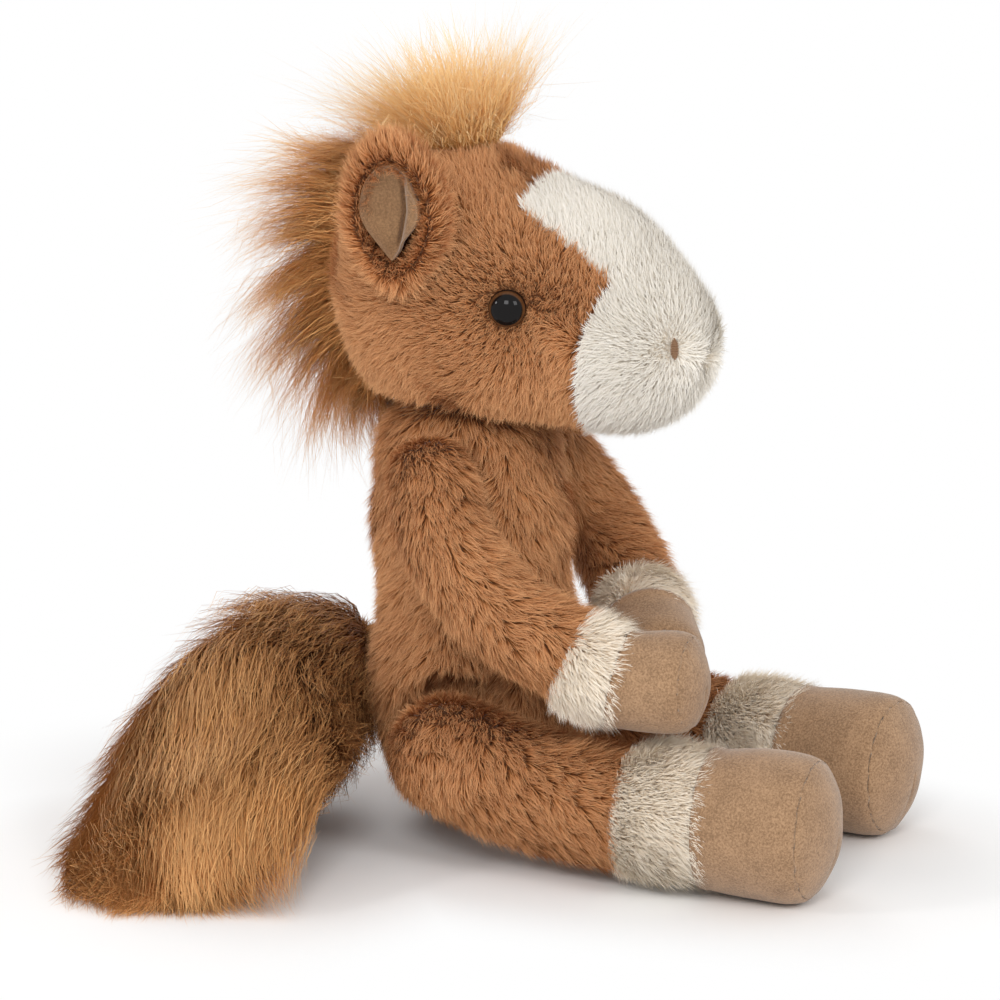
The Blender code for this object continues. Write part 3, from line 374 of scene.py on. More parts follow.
def fade(values: np.ndarray, low: float, high: float) -> np.ndarray:
    """A smooth step from 0 at low to 1 at high."""
    share = np.clip((values - low) / (high - low), 0, 1)
    return share * share * (3 - 2 * share)


def drift(points: np.ndarray, size: float, seed: int) -> np.ndarray:
    """Smoothly wandering vectors.

    Args:
        points: Where they are wanted.
        size: How far apart they change.
        seed: Which wandering.

    Returns:
        A vector for each point, mostly shorter than one.
    """
    chance = np.random.default_rng(seed)
    total = np.zeros(points.shape)
    for _ in range(5):
        waves = chance.normal(size=(3, 3)) / size
        total += np.sin(points @ waves + chance.uniform(0, 2 * math.pi, 3))
    return total / 3


def reach(field: Field, hub: np.ndarray, directions: np.ndarray, depth: float = 0) -> np.ndarray:
    """Points along directions from a hub that are at a depth under a form's surface.

    Args:
        field: The form's distance.
        hub: A point inside it.
        directions: The directions, one long.
        depth: How deep the points lie.

    Returns:
        A point for each direction.
    """
    low = np.zeros(directions.shape[:-1])
    high = np.full(directions.shape[:-1], 0.16)
    for _ in range(36):
        middle = (low + high) / 2
        inside = field(hub + directions * middle[..., None]) < -depth
        low, high = np.where(inside, middle, low), np.where(inside, high, middle)
    return hub + directions * low[..., None]


def radial(polar: np.ndarray, around: np.ndarray, pole: np.ndarray,
           zero: np.ndarray) -> np.ndarray:
    """Directions at polar angles from a pole and at angles round it, in degrees.

    Args:
        polar: An angle for each ring.
        around: An angle for each point, or for each point of each ring.
        pole: The direction of the first ring.
        zero: The direction from which around is measured.

    Returns:
        Directions in rings.
    """
    polar, around = np.radians(polar)[:, None], np.atleast_2d(np.radians(around))
    side = np.cross(pole, zero)
    ring = np.cos(around)[..., None] * zero + np.sin(around)[..., None] * side
    return np.cos(polar)[..., None] * pole + np.sin(polar)[..., None] * ring


def turns(count: int) -> np.ndarray:
    """The angles of points all round a ring."""
    return 2 * math.pi * np.arange(count) / count


def all_round(half: np.ndarray) -> np.ndarray:
    """Angles from 0 to 180 degrees, and the same ones back round to 360."""
    return np.concatenate([half, 360 - half[-2:0:-1]])


def spread(stops: tuple, counts: tuple) -> np.ndarray:
    """Angles from the first stop to the last, with a count of equal steps between stops."""
    parts = [np.linspace(start, end, count + 1)[1:]
             for start, end, count in zip(stops, stops[1:], counts)]
    return np.concatenate([[stops[0]], *parts])


def quads(rows: int, columns: int, closed: bool = True) -> list[list[int]]:
    """The faces between rows of points.

    Args:
        rows: How many rows there are.
        columns: How many points each has.
        closed: Whether each row goes round.

    Returns:
        Faces of four corners.
    """
    return [[row * columns + place, row * columns + (place + 1) % columns,
             (row + 1) * columns + (place + 1) % columns, (row + 1) * columns + place]
            for row in range(rows - 1) for place in range(columns if closed else columns - 1)]


@dataclass
class Panel:
    """A part of a form: the places of its points there, and its faces by their order."""

    form: "Form"
    used: np.ndarray
    faces: list[list[int]]

    @property
    def points(self) -> np.ndarray:
        """Its points."""
        return self.form.points[self.used]

    @property
    def normals(self) -> np.ndarray:
        """Which way it faces at each point."""
        return self.form.normals[self.used]


class Form:
    """A closed form: a grid of points in rings, of which the first and the last are poles."""

    def __init__(self, grid: np.ndarray) -> None:
        """Keeps the points and works out which way they face.

        Args:
            grid: Rings by segments by 3.
        """
        self.rings, self.segments = grid.shape[:2]
        self.points = grid.reshape(-1, 3)
        self.turned = False
        faces = np.array([(face[0], face[k], face[k + 1]) for face in self.faces(True)
                          for k in range(1, len(face) - 1)])
        corners = self.points[faces]
        volume = (np.cross(corners[:, 0], corners[:, 1]) * corners[:, 2]).sum()
        self.turned = volume < 0
        if self.turned:
            corners = corners[:, ::-1]
            faces = faces[:, ::-1]
        flats = np.cross(corners[:, 1] - corners[:, 0], corners[:, 2] - corners[:, 0])
        normals = np.zeros(self.points.shape)
        for corner in range(3):
            np.add.at(normals, faces[:, corner], flats)
        self.normals = unit(normals)

    @property
    def ring(self) -> np.ndarray:
        """The number of each row of cells, to set against other numbers in marks."""
        return np.arange(self.rings - 1)[:, None]

    def faces(self, keep: np.ndarray | bool) -> list[list[int]]:
        """The faces of the kept cells, as places in the points.

        Args:
            keep: One mark for each cell between rings, for each row of cells, or for all.

        Returns:
            Faces of three or four corners.
        """
        ring, place = np.nonzero(np.broadcast_to(keep, (self.rings - 1, self.segments)))
        after = (place + 1) % self.segments
        corners = [ring * self.segments + place, ring * self.segments + after,
                   (ring + 1) * self.segments + after, (ring + 1) * self.segments + place]
        quads = np.stack(corners, axis=1)
        last = (self.rings - 1) * self.segments
        quads = np.where(quads < self.segments, 0, np.where(quads >= last, last, quads))
        if self.turned:
            quads = quads[:, ::-1]
        return [list(dict.fromkeys(face)) for face in quads.tolist()]

    def panel(self, keep: np.ndarray | bool = True) -> Panel:
        """A part of the form, or the whole.

        Args:
            keep: The marks of its cells, as faces takes them.

        Returns:
            The panel.
        """
        faces = self.faces(keep)
        used = np.unique(np.concatenate([np.array(face) for face in faces]))
        order = {place: number for number, place in enumerate(used.tolist())}
        return Panel(self, used, [[order[place] for place in face] for face in faces])


def drawn_in(grid: np.ndarray, depth: float) -> np.ndarray:
    """A form's grid drawn in by a depth, square to its surface."""
    form = Form(grid)
    return (form.points - form.normals * depth).reshape(grid.shape)


def plain_object(name: str, points: np.ndarray, faces: list[list[int]]) -> bpy.types.Object:
    """A smooth mesh object at the origin.

    Args:
        name: Its name.
        points: Its points.
        faces: Its faces by their order in the points.

    Returns:
        The object, linked to the scene.
    """
    mesh = bpy.data.meshes.new(name)
    mesh.from_pydata(points.tolist(), [], faces)
    mesh.shade_smooth()
    mesh.update()
    return linked(name, mesh)


def closed_object(name: str, form: Form) -> bpy.types.Object:
    """A whole form as an object."""
    panel = form.panel()
    return plain_object(name, panel.points, panel.faces)


def shell(name: str, outer: np.ndarray, inner: np.ndarray,
          faces: list[list[int]]) -> bpy.types.Object:
    """A sewn panel as a closed sheet with a thickness.

    Args:
        name: Its name.
        outer: The points of its outside.
        inner: The points of its inside, in the same order.
        faces: The faces of its outside.

    Returns:
        The object.
    """
    count = len(outer)
    edges = {(a, b) for face in faces for a, b in zip(face, face[1:] + face[:1])}
    border = sorted((a, b) for a, b in edges if (b, a) not in edges)
    solid = faces + [[place + count for place in reversed(face)] for face in faces]
    solid += [[b, a, a + count, b + count] for a, b in border]
    return plain_object(name, np.concatenate([outer, inner]), solid)


def keep_values(mesh: bpy.types.Mesh, name: str, values: np.ndarray) -> None:
    """Keeps a number or a vector for each point of a mesh.

    Args:
        mesh: The mesh.
        name: The name of the attribute.
        values: One row for each point.
    """
    vector = values.ndim == 2
    layer = mesh.attributes.new(name, "FLOAT_VECTOR" if vector else "FLOAT", "POINT")
    layer.data.foreach_set("vector" if vector else "value", values.astype(np.float32).ravel())


class Spine:
    """A smooth curve that a limb or the tail follows, straight beyond both ends."""

    def __init__(self, points: list[np.ndarray]) -> None:
        """Samples a curve through points.

        Args:
            points: The points, from the root to the tip.
        """
        points = [2 * points[0] - points[1], *points, 2 * points[-1] - points[-2]]
        samples = []
        spans = len(points) - 3
        for span in range(spans):
            a, b, c, d = points[span:span + 4]
            count = 240 // spans
            for step in range(count + (span == spans - 1)):
                t = step / count
                samples.append(0.5 * (2 * b + (c - a) * t + (2 * a - 5 * b + 4 * c - d) * t ** 2
                                      + (3 * b - a - 3 * c + d) * t ** 3))
        self.points = np.array(samples)
        steps = size_of(np.diff(self.points, axis=0))
        self.lengths = np.concatenate([[0], np.cumsum(steps)])
        self.tangents = unit(np.gradient(self.points, self.lengths, axis=0))
        sides = [np.array((1.0, 0, 0))]
        for tangent_here in self.tangents:
            sides.append(unit(sides[-1] - tangent_here * (sides[-1] @ tangent_here)))
        self.sides = np.array(sides[1:])

    def at(self, lengths: np.ndarray) -> tuple[np.ndarray, np.ndarray, np.ndarray, np.ndarray]:
        """The curve at some lengths along it.

        Args:
            lengths: The lengths.

        Returns:
            Points, tangents and two directions square to them.
        """
        inside = np.clip(lengths, 0, self.lengths[-1])
        point, along, side = (
            np.stack([np.interp(inside, self.lengths, values[:, k]) for k in range(3)], axis=-1)
            for values in (self.points, self.tangents, self.sides))
        along = unit(along)
        side = unit(side - along * (side * along).sum(-1, keepdims=True))
        point = point + along * (lengths - inside)[..., None]
        return point, along, side, np.cross(along, side)

    def swept(self, rows: np.ndarray, segments: int,
              flatness: np.ndarray | float = 1.0) -> np.ndarray:
        """A grid round the curve.

        Args:
            rows: Rows of a length along the curve and a radius there.
            segments: How many points a ring has.
            flatness: How thick each ring is as a share of its width.

        Returns:
            Rings by segments by 3.
        """
        point, _, side, other = self.at(rows[:, 0])
        thin = np.broadcast_to(flatness, len(rows))
        angles = turns(segments)[None, :, None] + math.pi / 2
        ring = (np.cos(angles) * side[:, None]
                + np.sin(angles) * other[:, None] * thin[:, None, None])
        return point[:, None] + rows[:, 1][:, None, None] * ring


# Finishes


@dataclass(frozen=True)
class Finish:
    """The name of a material and of the slot that it fills."""

    name: str
    slot: str

    @cache
    def build(self) -> bpy.types.Material:
        """The material, which is built once."""
        material = bpy.data.materials.new(self.name)
        material.use_nodes = True
        plan = Plan(material.node_tree)
        plan.fill(plan.tree.nodes["Principled BSDF"], self.sockets(plan))
        return material

    def sockets(self, plan: Plan) -> dict[str, object]:
        """What the shader's inputs get."""
        raise NotImplementedError


@dataclass(frozen=True)
class PileFinish(Finish):
    """Pile whose strands differ a little and are darker at their roots."""

    deep: tuple[Colour, Colour, Colour]
    bright: tuple[Colour, Colour, Colour]
    roughness: float = 0.75

    def sockets(self, plan: Plan) -> dict[str, object]:
        """Across the strand map runs the shade, and up it the way to the tip."""
        place = plan.node("ShaderNodeUVMap", {"uv_map": "OFBake"})["UV"]
        split = plan.node("ShaderNodeSeparateXYZ", {}, {"Vector": place})
        ramps = [plan.node("ShaderNodeValToRGB",
                           {"stops": list(zip((0.05, 0.45, 0.95), colours))},
                           {"Fac": split["Y"]})["Color"] for colours in (self.deep, self.bright)]
        return {"Base Color": plan.mixed(split["X"], *ramps), "Roughness": self.roughness,
                "Specular IOR Level": 0.2}


@dataclass(frozen=True)
class ClothFinish(Finish):
    """Short napped cloth: velour, or the backing under long pile."""

    colour: Colour
    worn: Colour
    nap_size: float = 0.0007
    nap_depth: float = 0.0005
    patch_size: float = 0.009
    roughness: float = 0.85
    sheen: float = 0.3

    def sockets(self, plan: Plan) -> dict[str, object]:
        """Patches where the nap lies another way, and the fine nap itself."""
        place = plan.node("ShaderNodeTexCoord")["Object"]
        patches = plan.noise(place, self.patch_size, 3.0, 0.6)
        nap = plan.noise(place, self.nap_size, 2.0, 0.7)
        share = (patches * 1.1 + nap * 3.0 - 1.55).clamped(0, 1)
        bump = plan.node("ShaderNodeBump", {}, {"Strength": 0.6, "Distance": self.nap_depth,
                                                "Height": nap * 0.7 + patches * 0.6})["Normal"]
        return {"Base Color": plan.mixed(share, self.worn, self.colour), "Normal": bump,
                "Roughness": self.roughness, "Specular IOR Level": 0.2,
                "Sheen Weight": self.sheen, "Sheen Roughness": 0.5}


@dataclass(frozen=True)
class EyeFinish(Finish):
    """A glossy dome: a black pupil, a brown ring that is streaked, and a black rim."""

    name: str = "eye_gloss"
    slot: str = "black_plastic"
    black: Colour = (0.006, 0.005, 0.005)
    brown: Colour = (0.060, 0.022, 0.009)
    amber: Colour = (0.130, 0.055, 0.020)
    streak_size: float = 1 / 6
    iris: tuple[float, float] = (0.80, 0.88)
    rim: tuple[float, float] = (0.99, 0.94)

    def sockets(self, plan: Plan) -> dict[str, object]:
        """Rings by the distance from the middle, which the mesh keeps."""
        ring = plan.node("ShaderNodeAttribute", {"attribute_name": "ring"})["Fac"]
        turn = plan.node("ShaderNodeAttribute", {"attribute_name": "turn"})["Vector"]
        iris = plan.mixed(plan.noise(turn, self.streak_size), self.brown, self.amber)
        share = plan.step(ring, *self.iris) * plan.step(ring, *self.rim)
        return {"Base Color": plan.mixed(share, self.black, iris), "Roughness": 0.3,
                "Specular IOR Level": 0.0, "Coat Weight": 0.3, "Coat Roughness": 0.02}


@dataclass(frozen=True)
class HardFinish(Finish):
    """Moulded plastic or wound thread, slightly uneven."""

    colour: Colour
    dull: Colour
    roughness: float
    grain: float

    def sockets(self, plan: Plan) -> dict[str, object]:
        """Fine uneven patches."""
        noise = plan.noise(plan.node("ShaderNodeTexCoord")["Object"], self.grain)
        bump = plan.node("ShaderNodeBump", {}, {"Strength": 0.3, "Distance": 0.0002,
                                                "Height": noise})["Normal"]
        return {"Base Color": plan.mixed(noise, self.dull, self.colour), "Normal": bump,
                "Roughness": self.roughness}


BROWN = PileFinish("brown_pile", "brown_plush",
                   deep=((0.21, 0.074, 0.023), (0.40, 0.165, 0.062), (0.62, 0.31, 0.140)),
                   bright=((0.36, 0.114, 0.030), (0.62, 0.255, 0.088), (0.88, 0.50, 0.245)))
CREAM = PileFinish("cream_pile", "cream_plush",
                   deep=((0.86, 0.76, 0.63), (0.89, 0.83, 0.73), (0.90, 0.86, 0.79)),
                   bright=((0.88, 0.79, 0.67), (0.91, 0.86, 0.78), (0.92, 0.89, 0.84)),
                   roughness=0.9)
# The cuff pile's roots are warmer and darker than its tips: partly the cream's own tone, partly
# painted shade deep in the pile.
CUFF = PileFinish("cuff_pile", "cream_plush",
                  deep=((0.93, 0.74, 0.55), (0.98, 0.85, 0.69), (0.99, 0.91, 0.79)),
                  bright=((0.97, 0.80, 0.61), (0.99, 0.89, 0.75), (0.99, 0.94, 0.85)),
                  roughness=0.9)
HAIR = PileFinish("long_hair", "long_pile",
                  deep=((0.32, 0.120, 0.033), (0.56, 0.26, 0.088), (0.72, 0.41, 0.16)),
                  bright=((0.50, 0.195, 0.050), (0.84, 0.46, 0.175), (0.95, 0.66, 0.33)),
                  roughness=0.5)
TAIL_HAIR = PileFinish("tail_hair", "long_pile",
                       deep=((0.11, 0.040, 0.012), (0.22, 0.082, 0.026), (0.42, 0.19, 0.070)),
                       bright=((0.42, 0.165, 0.046), (0.68, 0.32, 0.105), (0.88, 0.52, 0.22)),
                       roughness=0.55)
GOLDEN = PileFinish("golden_hair", "long_pile",
                    deep=((0.62, 0.26, 0.068), (0.84, 0.46, 0.16), (0.92, 0.63, 0.30)),
                    bright=((0.82, 0.41, 0.12), (0.97, 0.63, 0.27), (0.98, 0.80, 0.50)),
                    roughness=0.5)
# Brown backing under the pile: real cloth, darkened to the pile's root brown as painted shade that
# shows as depth in the gaps between strands.
BROWN_BACKING_PAINTED_SHADE = ClothFinish("brown_backing", "brown_plush", (0.20, 0.085, 0.034),
                            (0.13, 0.052, 0.020))
CREAM_BACKING = ClothFinish("cream_backing", "cream_plush", (0.90, 0.83, 0.73),
                            (0.86, 0.77, 0.65))
VELOUR = ClothFinish("hoof_velour", "tan_velour", (0.43, 0.262, 0.146), (0.235, 0.135, 0.070))
EAR_VELOUR = ClothFinish("ear_lining_velour", "ear_velour", (0.33, 0.188, 0.092),
                         (0.21, 0.115, 0.055))
# The tail's under-hair fills the brush like dense hair; its dark colour is painted shade deep
# inside the brush.
UNDER_HAIR_PAINTED_SHADE = ClothFinish("under_hair", "long_pile", (0.16, 0.070, 0.025), (0.07, 0.030, 0.011))
EYE = EyeFinish()
WASHER = HardFinish("washer_plastic", "white_plastic", (0.72, 0.72, 0.70), (0.62, 0.62, 0.60),
                    0.4, 0.002)
THREAD = HardFinish("nostril_thread", "tan_thread", (0.30, 0.165, 0.085), (0.13, 0.065, 0.03),
                    0.7, 0.0004)


def dress(piece: bpy.types.Object, finish: Finish, body: str, *nodes: str,
          fill: float | None = None) -> None:
    """Gives a piece its finish and its body.

    Args:
        piece: The piece.
        finish: Its finish.
        body: The body that it rides on.
        nodes: The solids that it stands for.
        fill: How full it is, where it is stuffed. It is not used.
    """
    piece.data.materials.clear()
    piece.data.materials.append(finish.build())
    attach(piece, body)
    if nodes:
        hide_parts(*nodes)


# Pile and hair


@dataclass(frozen=True)
class Pile:
    """How pile grows: its size in metres, how thickly, and how it lies."""

    length: float = 0.0078
    width: float = 0.00044
    density: float = 3.7e6
    rise: float = 0.68
    lay: float = 0.62
    curl: float = 0.30
    droop: float = 0.10
    steps: int = 2
    shortest: float = 0.55
    clump_size: float = 0.0042
    clump_pull: float = 0.75
    frizz: float = 0.0017
    wave: float = 0.0
    softness: float = 0.55


@dataclass
class Growth:
    """A patch of cloth with how the pile grows at each of its points."""

    points: np.ndarray
    faces: list[list[int]]
    normals: np.ndarray
    aim: np.ndarray
    bend: np.ndarray
    cover: np.ndarray | float = 1.0
    tone: np.ndarray | float = 0.0

    def keep_on(self, mesh: bpy.types.Mesh) -> None:
        """Keeps the values that the strands read on the patch's mesh."""
        count = len(self.points)
        for name, values in (("aim", self.aim), ("bend", self.bend), ("skin", self.normals),
                             ("cover", np.broadcast_to(self.cover, count)),
                             ("tone", np.broadcast_to(self.tone, count))):
            keep_values(mesh, name, values)


class StrandTree:
    """Geometry Nodes that grow one tapered strand at each of many points of a patch."""

    def __init__(self) -> None:
        """Builds the tree."""
        self.plan = new_group("strands", {
            "Float": ("Density", "Width", "Shortest", "Clump Size", "Clump Pull", "Frizz", "Wave",
                      "Softness"),
            "Int": ("Steps", "Seed"), "Material": ("Material",)})
        self.given = self.plan.node("NodeGroupInput")
        strands = self.placed(self.roots(), self.strand())
        self.finished(strands)

    def named(self, name: str, kind: str = "FLOAT_VECTOR") -> Wire:
        """Reads an attribute by its name."""
        return self.plan.node("GeometryNodeInputNamedAttribute", {"data_type": kind},
                              {"Name": name})["Attribute"]

    def number(self, name: str) -> Wire:
        """Reads a number by its name."""
        return self.named(name, "FLOAT")

    def stored(self, geometry: Wire, name: str, value: Wire, kind: str = "FLOAT_VECTOR",
               domain: str = "POINT") -> Wire:
        """Keeps a value on a geometry.

        Args:
            geometry: The geometry.
            name: The attribute's name.
            value: The value.
            kind: Its type.
            domain: What has one value each.

        Returns:
            The geometry with the attribute.
        """
        node = self.plan.node("GeometryNodeStoreNamedAttribute",
                              {"data_type": kind, "domain": domain},
                              {"Geometry": geometry, "Name": name, "Value": value})
        return node["Geometry"]

    def chance(self, low: float | tuple, high: float | tuple, offset: int) -> Wire:
        """A random number or vector between limits.

        Args:
            low: The lower limit.
            high: The upper limit.
            offset: Which of the tree's random values it is.

        Returns:
            The value, steady for each point.
        """
        vector = isinstance(low, tuple)
        kind, first = ("FLOAT_VECTOR", 0) if vector else ("FLOAT", 2)
        node = self.plan.node("FunctionNodeRandomValue", {"data_type": kind},
                              {first: low, first + 1: high,
                               "Seed": self.given["Seed"] + offset})
        return node[0 if vector else 1]

    def roots(self) -> Wire:
        """Scatters the roots and keeps what each strand needs to know."""
        density = self.given["Density"] * self.number("cover")
        scatter = self.plan.node("GeometryNodeDistributePointsOnFaces",
                                 {"distribute_method": "RANDOM"},
                                 {"Mesh": self.given["Geometry"], "Density": density,
                                  "Seed": self.given["Seed"]})
        place = self.plan.node("GeometryNodeInputPosition")["Position"]
        cells = self.plan.node("ShaderNodeTexVoronoi", {"voronoi_dimensions": "3D"},
                               {"Vector": place, "Scale": 1 / self.given["Clump Size"]})
        pull = cells["Position"] - place
        skin = self.named("skin")
        inward = pull.maths("DOT_PRODUCT", skin, output=1)
        stray = self.chance((-1, -1, -1), (1, 1, 1), 1)
        swing = (pull - skin * inward) * self.given["Clump Pull"] + stray * self.given["Frizz"]
        size = self.chance(0.0, 1.0, 2) ** 1.3
        size = size * (1 - self.given["Shortest"]) + self.given["Shortest"]
        points = scatter["Points"]
        for name, value in (("root", place), ("swing", swing), ("stray", stray)):
            points = self.stored(points, name, value)
        points = self.stored(points, "size", size, "FLOAT")
        return self.stored(points, "shade", self.chance(0.0, 1.0, 3), "FLOAT")

    def strand(self) -> Wire:
        """One flat strand that tapers to a point, with its place along and across kept."""
        grid = self.plan.node("GeometryNodeMeshGrid", {}, {
            "Size X": 1.0, "Size Y": 1.0, "Vertices X": 2,
            "Vertices Y": self.given["Steps"] + 1})["Mesh"]
        place = self.plan.node("ShaderNodeSeparateXYZ", {}, {
            "Vector": self.plan.node("GeometryNodeInputPosition")["Position"]})
        along = (place["Y"] + 0.5).clamped(0, 1)
        across = place["X"] * ((1 - along).clamped(0, 1) ** 0.6)
        grid = self.stored(grid, "along", along, "FLOAT")
        grid = self.stored(grid, "across", across, "FLOAT")
        point = self.plan.vector(X=self.number("across"), Y=self.number("along"))
        grid = self.plan.node("GeometryNodeSetPosition", {},
                              {"Geometry": grid, "Position": point})["Geometry"]
        return self.plan.node("GeometryNodeMergeByDistance", {},
                              {"Geometry": grid, "Distance": 0.0001})["Geometry"]

    def placed(self, roots: Wire, strand: Wire) -> Wire:
        """Puts a strand at each root and bends it as its patch says.

        Args:
            roots: The points.
            strand: The strand.

        Returns:
            The strands as one mesh.
        """
        copies = self.plan.node("GeometryNodeInstanceOnPoints", {},
                                {"Points": roots, "Instance": strand})["Instances"]
        mesh = self.plan.node("GeometryNodeRealizeInstances", {},
                              {"Geometry": copies})["Geometry"]
        along, size = self.number("along"), self.number("size")
        aim = self.named("aim") * size
        bend = self.named("bend") * size + self.named("swing")
        facing = self.named("skin") + self.named("stray") * 0.45
        run = aim + bend * (along * 2)
        turn = along * 11 + self.number("shade") * 30
        wave = self.named("stray") * (turn.maths("SINE") * along * self.given["Wave"])
        across = run.maths("CROSS_PRODUCT", facing).maths("NORMALIZE")
        width = self.number("across") * self.given["Width"]
        place = self.named("root") + aim * along + bend * (along * along) + across * width + wave
        place = place.maths("MAXIMUM", self.plan.vector(X=-1.0, Y=-1.0, Z=0.0003))
        return self.plan.node("GeometryNodeSetPosition", {},
                              {"Geometry": mesh, "Position": place})["Geometry"]

    def finished(self, mesh: Wire) -> None:
        """Softens the strands' shading, maps their shades and gives them their material.

        Args:
            mesh: The strands.
        """
        own = self.plan.node("GeometryNodeInputNormal")["Normal"]
        soft = self.given["Softness"]
        normal = (own * (1 - soft) + self.named("skin") * soft).maths("NORMALIZE")
        mesh = self.plan.node("GeometryNodeSetMeshNormal", {"mode": "FREE", "domain": "POINT"},
                              {"Mesh": mesh, "Custom Normal": normal})["Mesh"]
        shade = self.number("shade") * 0.7 + 0.15 + self.number("tone")
        across = shade.clamped(0.02, 0.97) + self.number("across") * 0.02
        up = self.number("along") * 0.96 + 0.02
        mesh = self.stored(mesh, "OFBake", self.plan.vector(X=across, Y=up), "FLOAT2", "CORNER")
        mesh = self.plan.node("GeometryNodeSetMaterial", {}, {
            "Geometry": mesh, "Material": self.given["Material"]})["Geometry"]
        self.plan.node("NodeGroupOutput", {}, {"Geometry": mesh})

    def grow(self, name: str, growth: Growth, pile: Pile, finish: PileFinish, seed: int,
             body: str, *nodes: str) -> bpy.types.Object:
        """Grows the pile of one patch.

        Args:
            name: The name of the new piece.
            growth: The patch.
            pile: The size of the pile.
            finish: Its finish.
            seed: Which scatter.
            body: The body that it rides on.
            nodes: The solids that it stands for.

        Returns:
            The piece.
        """
        patch = plain_object(f"{name}_patch", growth.points, growth.faces)
        growth.keep_on(patch.data)
        piece = run_tree(patch, self.plan.tree, pile,
                         {"Seed": seed, "Material": finish.build()}, name)
        for label in ("aim", "bend", "cover", "tone", "skin", "root", "swing", "stray", "size",
                      "shade", "along", "across"):
            if label in piece.data.attributes:
                piece.data.attributes.remove(piece.data.attributes[label])
        dress(piece, finish, body, *nodes)
        LOG.info("%s: %d faces", name, len(piece.data.polygons))
        return piece


def combed(panel: Panel, flow: np.ndarray, pile: Pile, scale: np.ndarray | float = 1.0,
           cover: np.ndarray | float = 1.0, tone: np.ndarray | float = 0.0) -> Growth:
    """Short pile that lies along a flow.

    Args:
        panel: The cloth.
        flow: Where the pile lies, along the cloth.
        pile: The size of the pile.
        scale: How long the pile is there, as a share.
        cover: How much pile grows there, as a share.
        tone: How much brighter it is there.

    Returns:
        The growth.
    """
    normals = panel.normals
    length = pile.length * np.broadcast_to(scale, len(normals))[:, None]
    flow = flow - normals * (flow * normals).sum(-1, keepdims=True)
    flow = flow / np.maximum(np.linalg.norm(flow, axis=-1, keepdims=True), 0.5)
    aim = (normals * pile.rise + flow * pile.lay) * length
    bend = (flow * pile.curl - normals * pile.droop) * length
    return Growth(panel.points, panel.faces, normals, aim, bend, cover, tone)


STRANDS = StrandTree()
SKIN_DEPTH = 0.0036
SKIN_THICKNESS = 0.0014
VELOUR_THICKNESS = 0.0016
CLOTH_FILL = 0.85


def sewn(name: str, form: Form, inner: Form, keep: np.ndarray, backing: ClothFinish, body: str,
         *nodes: str) -> Panel:
    """Makes the cloth of one sewn panel.

    Args:
        name: The node that it stands for.
        form: The outside of the cloth.
        inner: Its inside.
        keep: The cells of the panel.
        backing: The finish.
        body: The body that it rides on.
        nodes: The other solids that it stands for.

    Returns:
        The panel.
    """
    panel = form.panel(keep)
    piece = shell(f"{name}_cloth", panel.points, inner.points[panel.used], panel.faces)
    dress(piece, backing, body, name, *nodes, fill=CLOTH_FILL)
    return panel


# The parts of the horse


def pivot(joint: str) -> np.ndarray:
    """Where a joint is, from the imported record."""
    return np.array(next(item for item in frame["joints"] if item["name"] == joint)["pos_m"])


